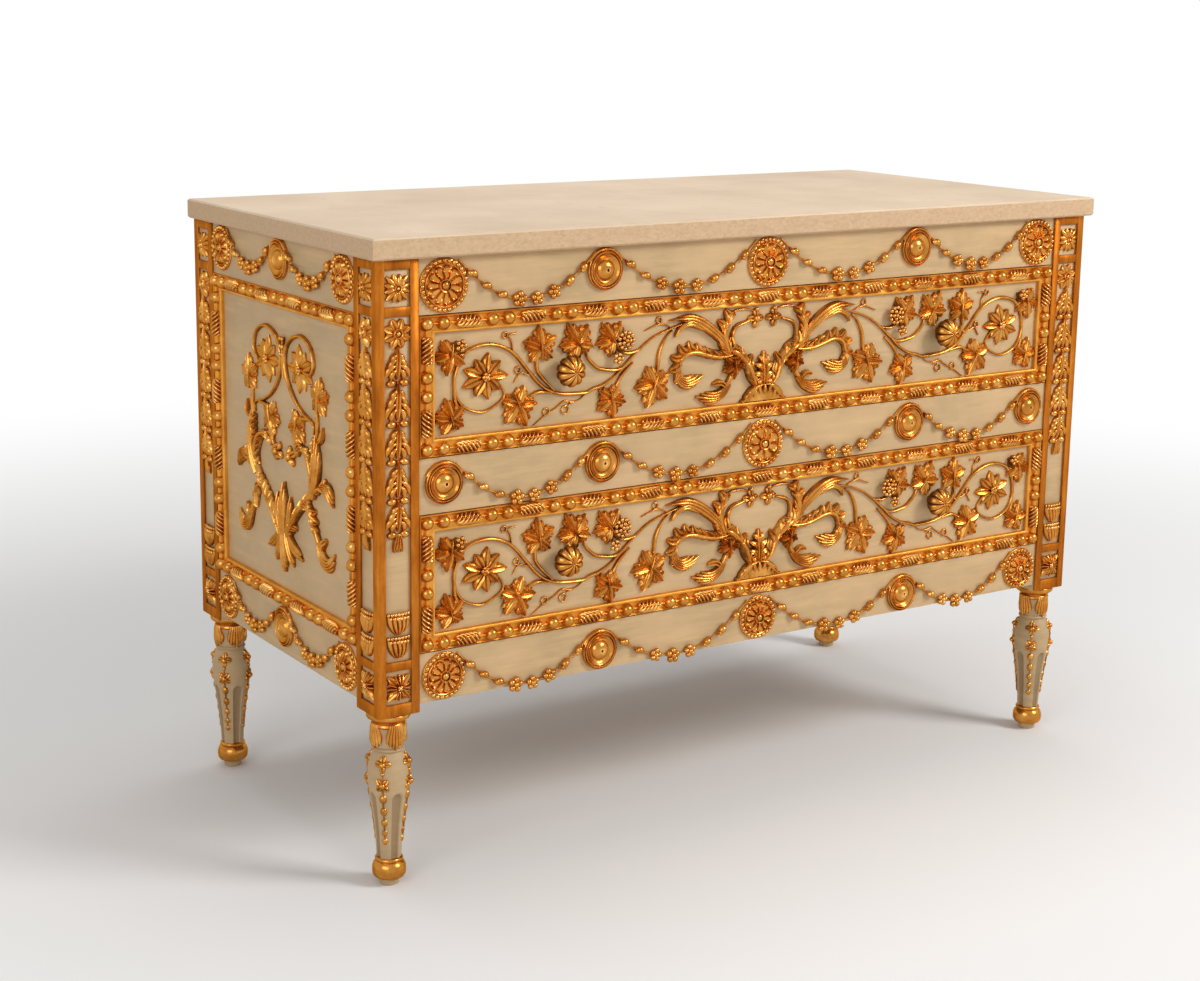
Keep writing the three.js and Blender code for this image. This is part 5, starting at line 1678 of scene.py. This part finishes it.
def place_ornament(node, side, in_front, fields, x, y, front, outer):
    """Carves a post's faces: its outer side, and its front where it stands in front."""
    carving = post_ornament(fields)
    side_ground = Ground((outer - side * (POST_SINK - SEAT), y, 0), (0, side, 0), (0, 0, 1), (side, 0, 0))
    piece_from(f"{node}_side_carving", carving, side_ground, "carcass", [node], sunk_at=lightly_sunk)
    if in_front:
        ground = front_ground(front + POST_SINK - SEAT, x)
        piece_from(f"{node}_front_carving", carving, ground, "carcass", [node], sunk_at=lightly_sunk)


# Legs

# Radius and level of the leg's body, and half the turn that a flute takes up
LEG_BODY = [
    (17.2, 38), (17.8, 44), (18.6, 60), (20, 80), (22, 100), (24.6, 120), (27.4, 138), (29.4, 154),
    (30, 168), (29.2, 180), (27, 190), (23.6, 198), (21, 203)]
FLUTE_TURN = 0.33


def leg_radius(height):
    levels = [level for _, level in LEG_BODY]
    return np.interp(height, levels, [radius for radius, _ in LEG_BODY])


def leg_painted():
    """The leg's painted turnings: fluted body, neck with its ring, and foot peg."""
    carving = Carving()
    outline = [(radius, level) for radius, level in smooth_line(LEG_BODY, 70)]
    levels = np.array([level for _, level in outline])[:, None]

    def cut(radius, angle, share):
        off = (angle + math.pi / 4) % (math.pi / 2) - math.pi / 4
        hollow = np.sqrt(np.clip(1 - (off / FLUTE_TURN) ** 2, 0, 1))
        inside = np.clip((131 + 12 * hollow - levels) / 2.5, 0, 1) * np.clip((levels - 39) / 3, 0, 1)
        return radius - 4.2 * hollow * inside

    carving.add(*lathe([*outline, (0, LEG_BODY[-1][1])], 112, cut))
    ring = [(19, 201), (22.4, 202.4), (24, 205), (22.6, 207.4), (19, 208.6), (0, 208.6)]
    neck = [(20.8, 206), (20.2, 216), (20.6, 228), (22.6, 240), (22.6, 244), (0, 244)]
    peg = [(12.5, 0), (14, 1.2), (14, 12), (0, 12)]
    for turning in (ring, neck, peg):
        carving.add(*lathe(turning, 56))
    return carving


def leg_gilt():
    """The leg's gilded work: bun ring, collar, four leaves under it and a drop on each corner."""
    carving = Carving()
    bun = [(15, 10.5), (21.4, 12), (23.8, 15.4), (24.5, 20.5), (24.2, 26.5), (22.6, 31.5), (19.8, 34.6),
           (18.8, 35.4), (20, 36.6), (20.4, 38.6), (19.6, 40.6), (17.4, 41.6), (0, 41.6)]
    collar = [(21, 237), (23.8, 238.4), (25, 240.6), (24.2, 242.8), (23.4, 243.8), (24.4, 246), (27, 248.8),
              (30.4, 251), (31.5, 253), (31.5, 256.8), (30.6, 258.6), (28.5, 259.5), (0, 259.5)]
    for outline in (bun, collar):
        carving.add(*lathe(outline, 64))
    for index in range(4):
        add_neck_leaf(carving, math.pi * index / 2)
        add_leg_drop(carving, math.pi * (index / 2 + 0.25))
    return carving


def wrapped(flat, radius_at, angle):
    """Bends flat carving round the leg: u runs round it, v up and w out of it."""
    bent = Carving()
    bent.faces, bent.marks, bent.count = flat.faces, flat.marks, flat.count
    for points in flat.points:
        radius = radius_at(points[:, 1])
        turn = angle + points[:, 0] / radius
        reach = radius + points[:, 2]
        bent.points.append(np.column_stack([reach * np.cos(turn), reach * np.sin(turn), points[:, 1]]))
    return bent


def add_neck_leaf(carving, angle):
    """A fluted leaf that hangs from the collar over the neck, curling out at its foot."""
    flat = Carving()
    add_fan(flat, [(0, 243), (0, 228), (0, 207)], [19, 29, 33], 7, 6.5)
    carving.merge(wrapped(flat, lambda height: 20.4 + 0.09 * np.clip(226 - height, 0, 20), angle))


def add_leg_drop(carving, angle):
    """A string of flowers and dwindling berries down one corner of the leg's body."""
    flat = Carving()
    add_stem(flat, [(0, 192), (0, 130), (0, 66)], 2.4, 2.2)
    add_quatrefoil(flat, (0, 188), 11.5, math.pi / 2, 3.6)
    add_pearl(flat, (0, 174), 3, 0.6)
    add_quatrefoil(flat, (0, 157), 11.5, math.pi / 4, 3.6)
    for level, radius in ((135.5, 6.6), (116, 6.3), (98, 5.8), (82, 5.4), (69, 5.1)):
        add_pearl(flat, (0, level), radius, -2.4, 1.24, math.pi / 2)
    carving.merge(wrapped(flat, leg_radius, angle))


def leg_hollows(spot, slot):
    """How deep each point of a leg lies in its flutes, or in the gilded carving round its neck: the share of
    painted shade and glaze it gets. The gilded drops down its body get half throughout.
    """
    def sunk_at(local):
        reach = np.hypot(local[:, 0] - spot[0], local[:, 1] - spot[1])
        level = local[:, 2]
        if slot == "cream":
            on_body = (level > LEG_BODY[0][1] + 1) & (level < LEG_BODY[-1][1])
            return np.clip((leg_radius(level) - reach) / 3.4, 0, 1) * on_body
        return np.where(level > 204, np.clip((22.5 - reach) / 4, 0, 1), 0.5 * (level > 60))
    return sunk_at


def dress_legs():
    parts = [("painted", leg_painted(), LEG_CREAM, "cream"), ("turnings", leg_gilt(), GILT, "gilt")]
    for depth_name in ("front", "back"):
        for _, hand in HANDS:
            node = f"leg_{depth_name}_{hand}"
            spot = middle(node)
            for name, carving, finish, slot in parts:
                stood = moved(carving, spot[0], spot[1], 0)
                dress(f"{node}_{name}", stood, node, finish, leg_hollows(spot, slot))


# Carried-over boards

def dress_boards():
    for name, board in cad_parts.items():
        finish = CREAM
        if name == "stone_top":
            finish = STONE
        elif any(word in name for word in ("runner", "kicker", "drawer_left_side", "drawer_right_side")):
            finish = DEEP_WOOD
        elif any(word in name for word in ("board", "back_panel", "drawer_back", "drawer_bottom")):
            finish = LONG_WOOD
        for slot in board.material_slots:
            slot.material = finish
        if not board.data.materials:
            board.data.materials.append(finish)


# Studio, in metres and watts

FLOOR_REACH = 30
GLOW_START = 0.9
GLOW_END = 3.4
WORLD_LIGHT = 0.42
SHINE_DIMMING = 0.24
LAMP_AIM = (0, 0, 0.5)
LAMPS = [
    ("key", (2.6, -3.4, 3.2), (1.6, 1.6), 140),
    ("fill", (-3.6, -2.2, 2.0), (2.4, 2.0), 42),
    ("top", (0, 0.4, 3.6), (2.4, 1.6), 30)]


def build_floor():
    """A pale floor that fades to white away from the chest."""
    mesh = bpy.data.meshes.new("floor")
    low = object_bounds()[0][2]
    signs = [(-1, -1), (1, -1), (1, 1), (-1, 1)]
    mesh.from_pydata([(x * FLOOR_REACH, y * FLOOR_REACH, low) for x, y in signs], [], [(0, 1, 2, 3)])
    floor = linked("floor", mesh)
    material, tree, shader, place = new_finish("pale floor")
    shader.inputs["Base Color"].default_value = (0.86, 0.855, 0.845, 1)
    shader.inputs["Roughness"].default_value = 0.9
    away = add_node(tree, "ShaderNodeVectorMath", {0: place}, operation="LENGTH").outputs["Value"]
    glow = add_node(tree, "ShaderNodeEmission", {"Color": (1, 1, 1, 1), "Strength": 1.0})
    share = times(tree, grey_ramp(tree, away, GLOW_START, GLOW_END), seen_directly(tree))
    mixed = add_node(tree, "ShaderNodeMixShader", {0: share, 1: shader, 2: glow})
    tree.links.new(mixed.outputs[0], tree.nodes["Material Output"].inputs["Surface"])
    mesh.materials.append(material)


def seen_directly(tree):
    """1 for what the camera sees, straight or in a shiny or clear surface, and 0 for all other light."""
    path = add_node(tree, "ShaderNodeLightPath")
    straight = reckon(tree, "MAXIMUM", path.outputs["Is Camera Ray"], path.outputs["Is Transmission Ray"])
    return reckon(tree, "MAXIMUM", straight, path.outputs["Is Glossy Ray"])


def build_world():
    """A white room, dimmer as a light than as a backdrop, and a little dimmer in the gilding."""
    world = bpy.data.worlds.new("studio")
    bpy.context.scene.world = world
    world.use_nodes = True
    tree = world.node_tree
    mirrored = add_node(tree, "ShaderNodeLightPath").outputs["Is Glossy Ray"]
    seen = grey_ramp(tree, seen_directly(tree), 0, 1, WORLD_LIGHT, 1)
    strength = reckon(tree, "SUBTRACT", seen, times(tree, mirrored, SHINE_DIMMING))
    back = tree.nodes["Background"]
    back.inputs["Color"].default_value = (1, 1, 1, 1)
    tree.links.new(strength, back.inputs["Strength"])


def add_softbox(name, place, size, power):
    light = bpy.data.lights.new(name, "AREA")
    light.shape = "RECTANGLE"
    light.size, light.size_y = size
    light.energy = power
    lamp = linked(name, light)
    lamp.location = place
    lamp.rotation_euler = (Vector(LAMP_AIM) - Vector(place)).to_track_quat("-Z", "Y").to_euler()


def build_camera():
    """The camera of the photograph, turned and shifted as it was fitted."""
    level = math.cos(PITCH)
    forward = Vector((math.sin(YAW) * level, math.cos(YAW) * level, -math.sin(PITCH)))
    right = forward.cross(Vector((0, 0, 1))).normalized()
    up = right.cross(forward)
    turned_right = right * math.cos(ROLL) + up * math.sin(ROLL)
    turned_up = up * math.cos(ROLL) - right * math.sin(ROLL)
    data = bpy.data.cameras.new("view")
    data.sensor_fit = "HORIZONTAL"
    data.sensor_width = 36
    data.lens = FOCAL_PX * data.sensor_width / IMAGE_WIDTH_PX
    data.shift_x = (IMAGE_WIDTH_PX / 2 - AXIS_PX[0]) / IMAGE_WIDTH_PX
    data.shift_y = (AXIS_PX[1] - IMAGE_HEIGHT_PX / 2) / IMAGE_WIDTH_PX
    camera = linked("view", data)
    turn = Matrix((turned_right, turned_up, -forward)).transposed()
    camera.matrix_world = Matrix.Translation(EYE) @ turn.to_4x4()
    bpy.context.scene.camera = camera


dress_boards()
dress_frames()
dress_arabesques()
dress_garlands()
dress_knobs()
dress_posts()
dress_legs()
build_floor()
build_world()
for lamp_settings in LAMPS:
    add_softbox(*lamp_settings)
build_camera()
bpy.context.scene.view_settings.view_transform = "Standard"
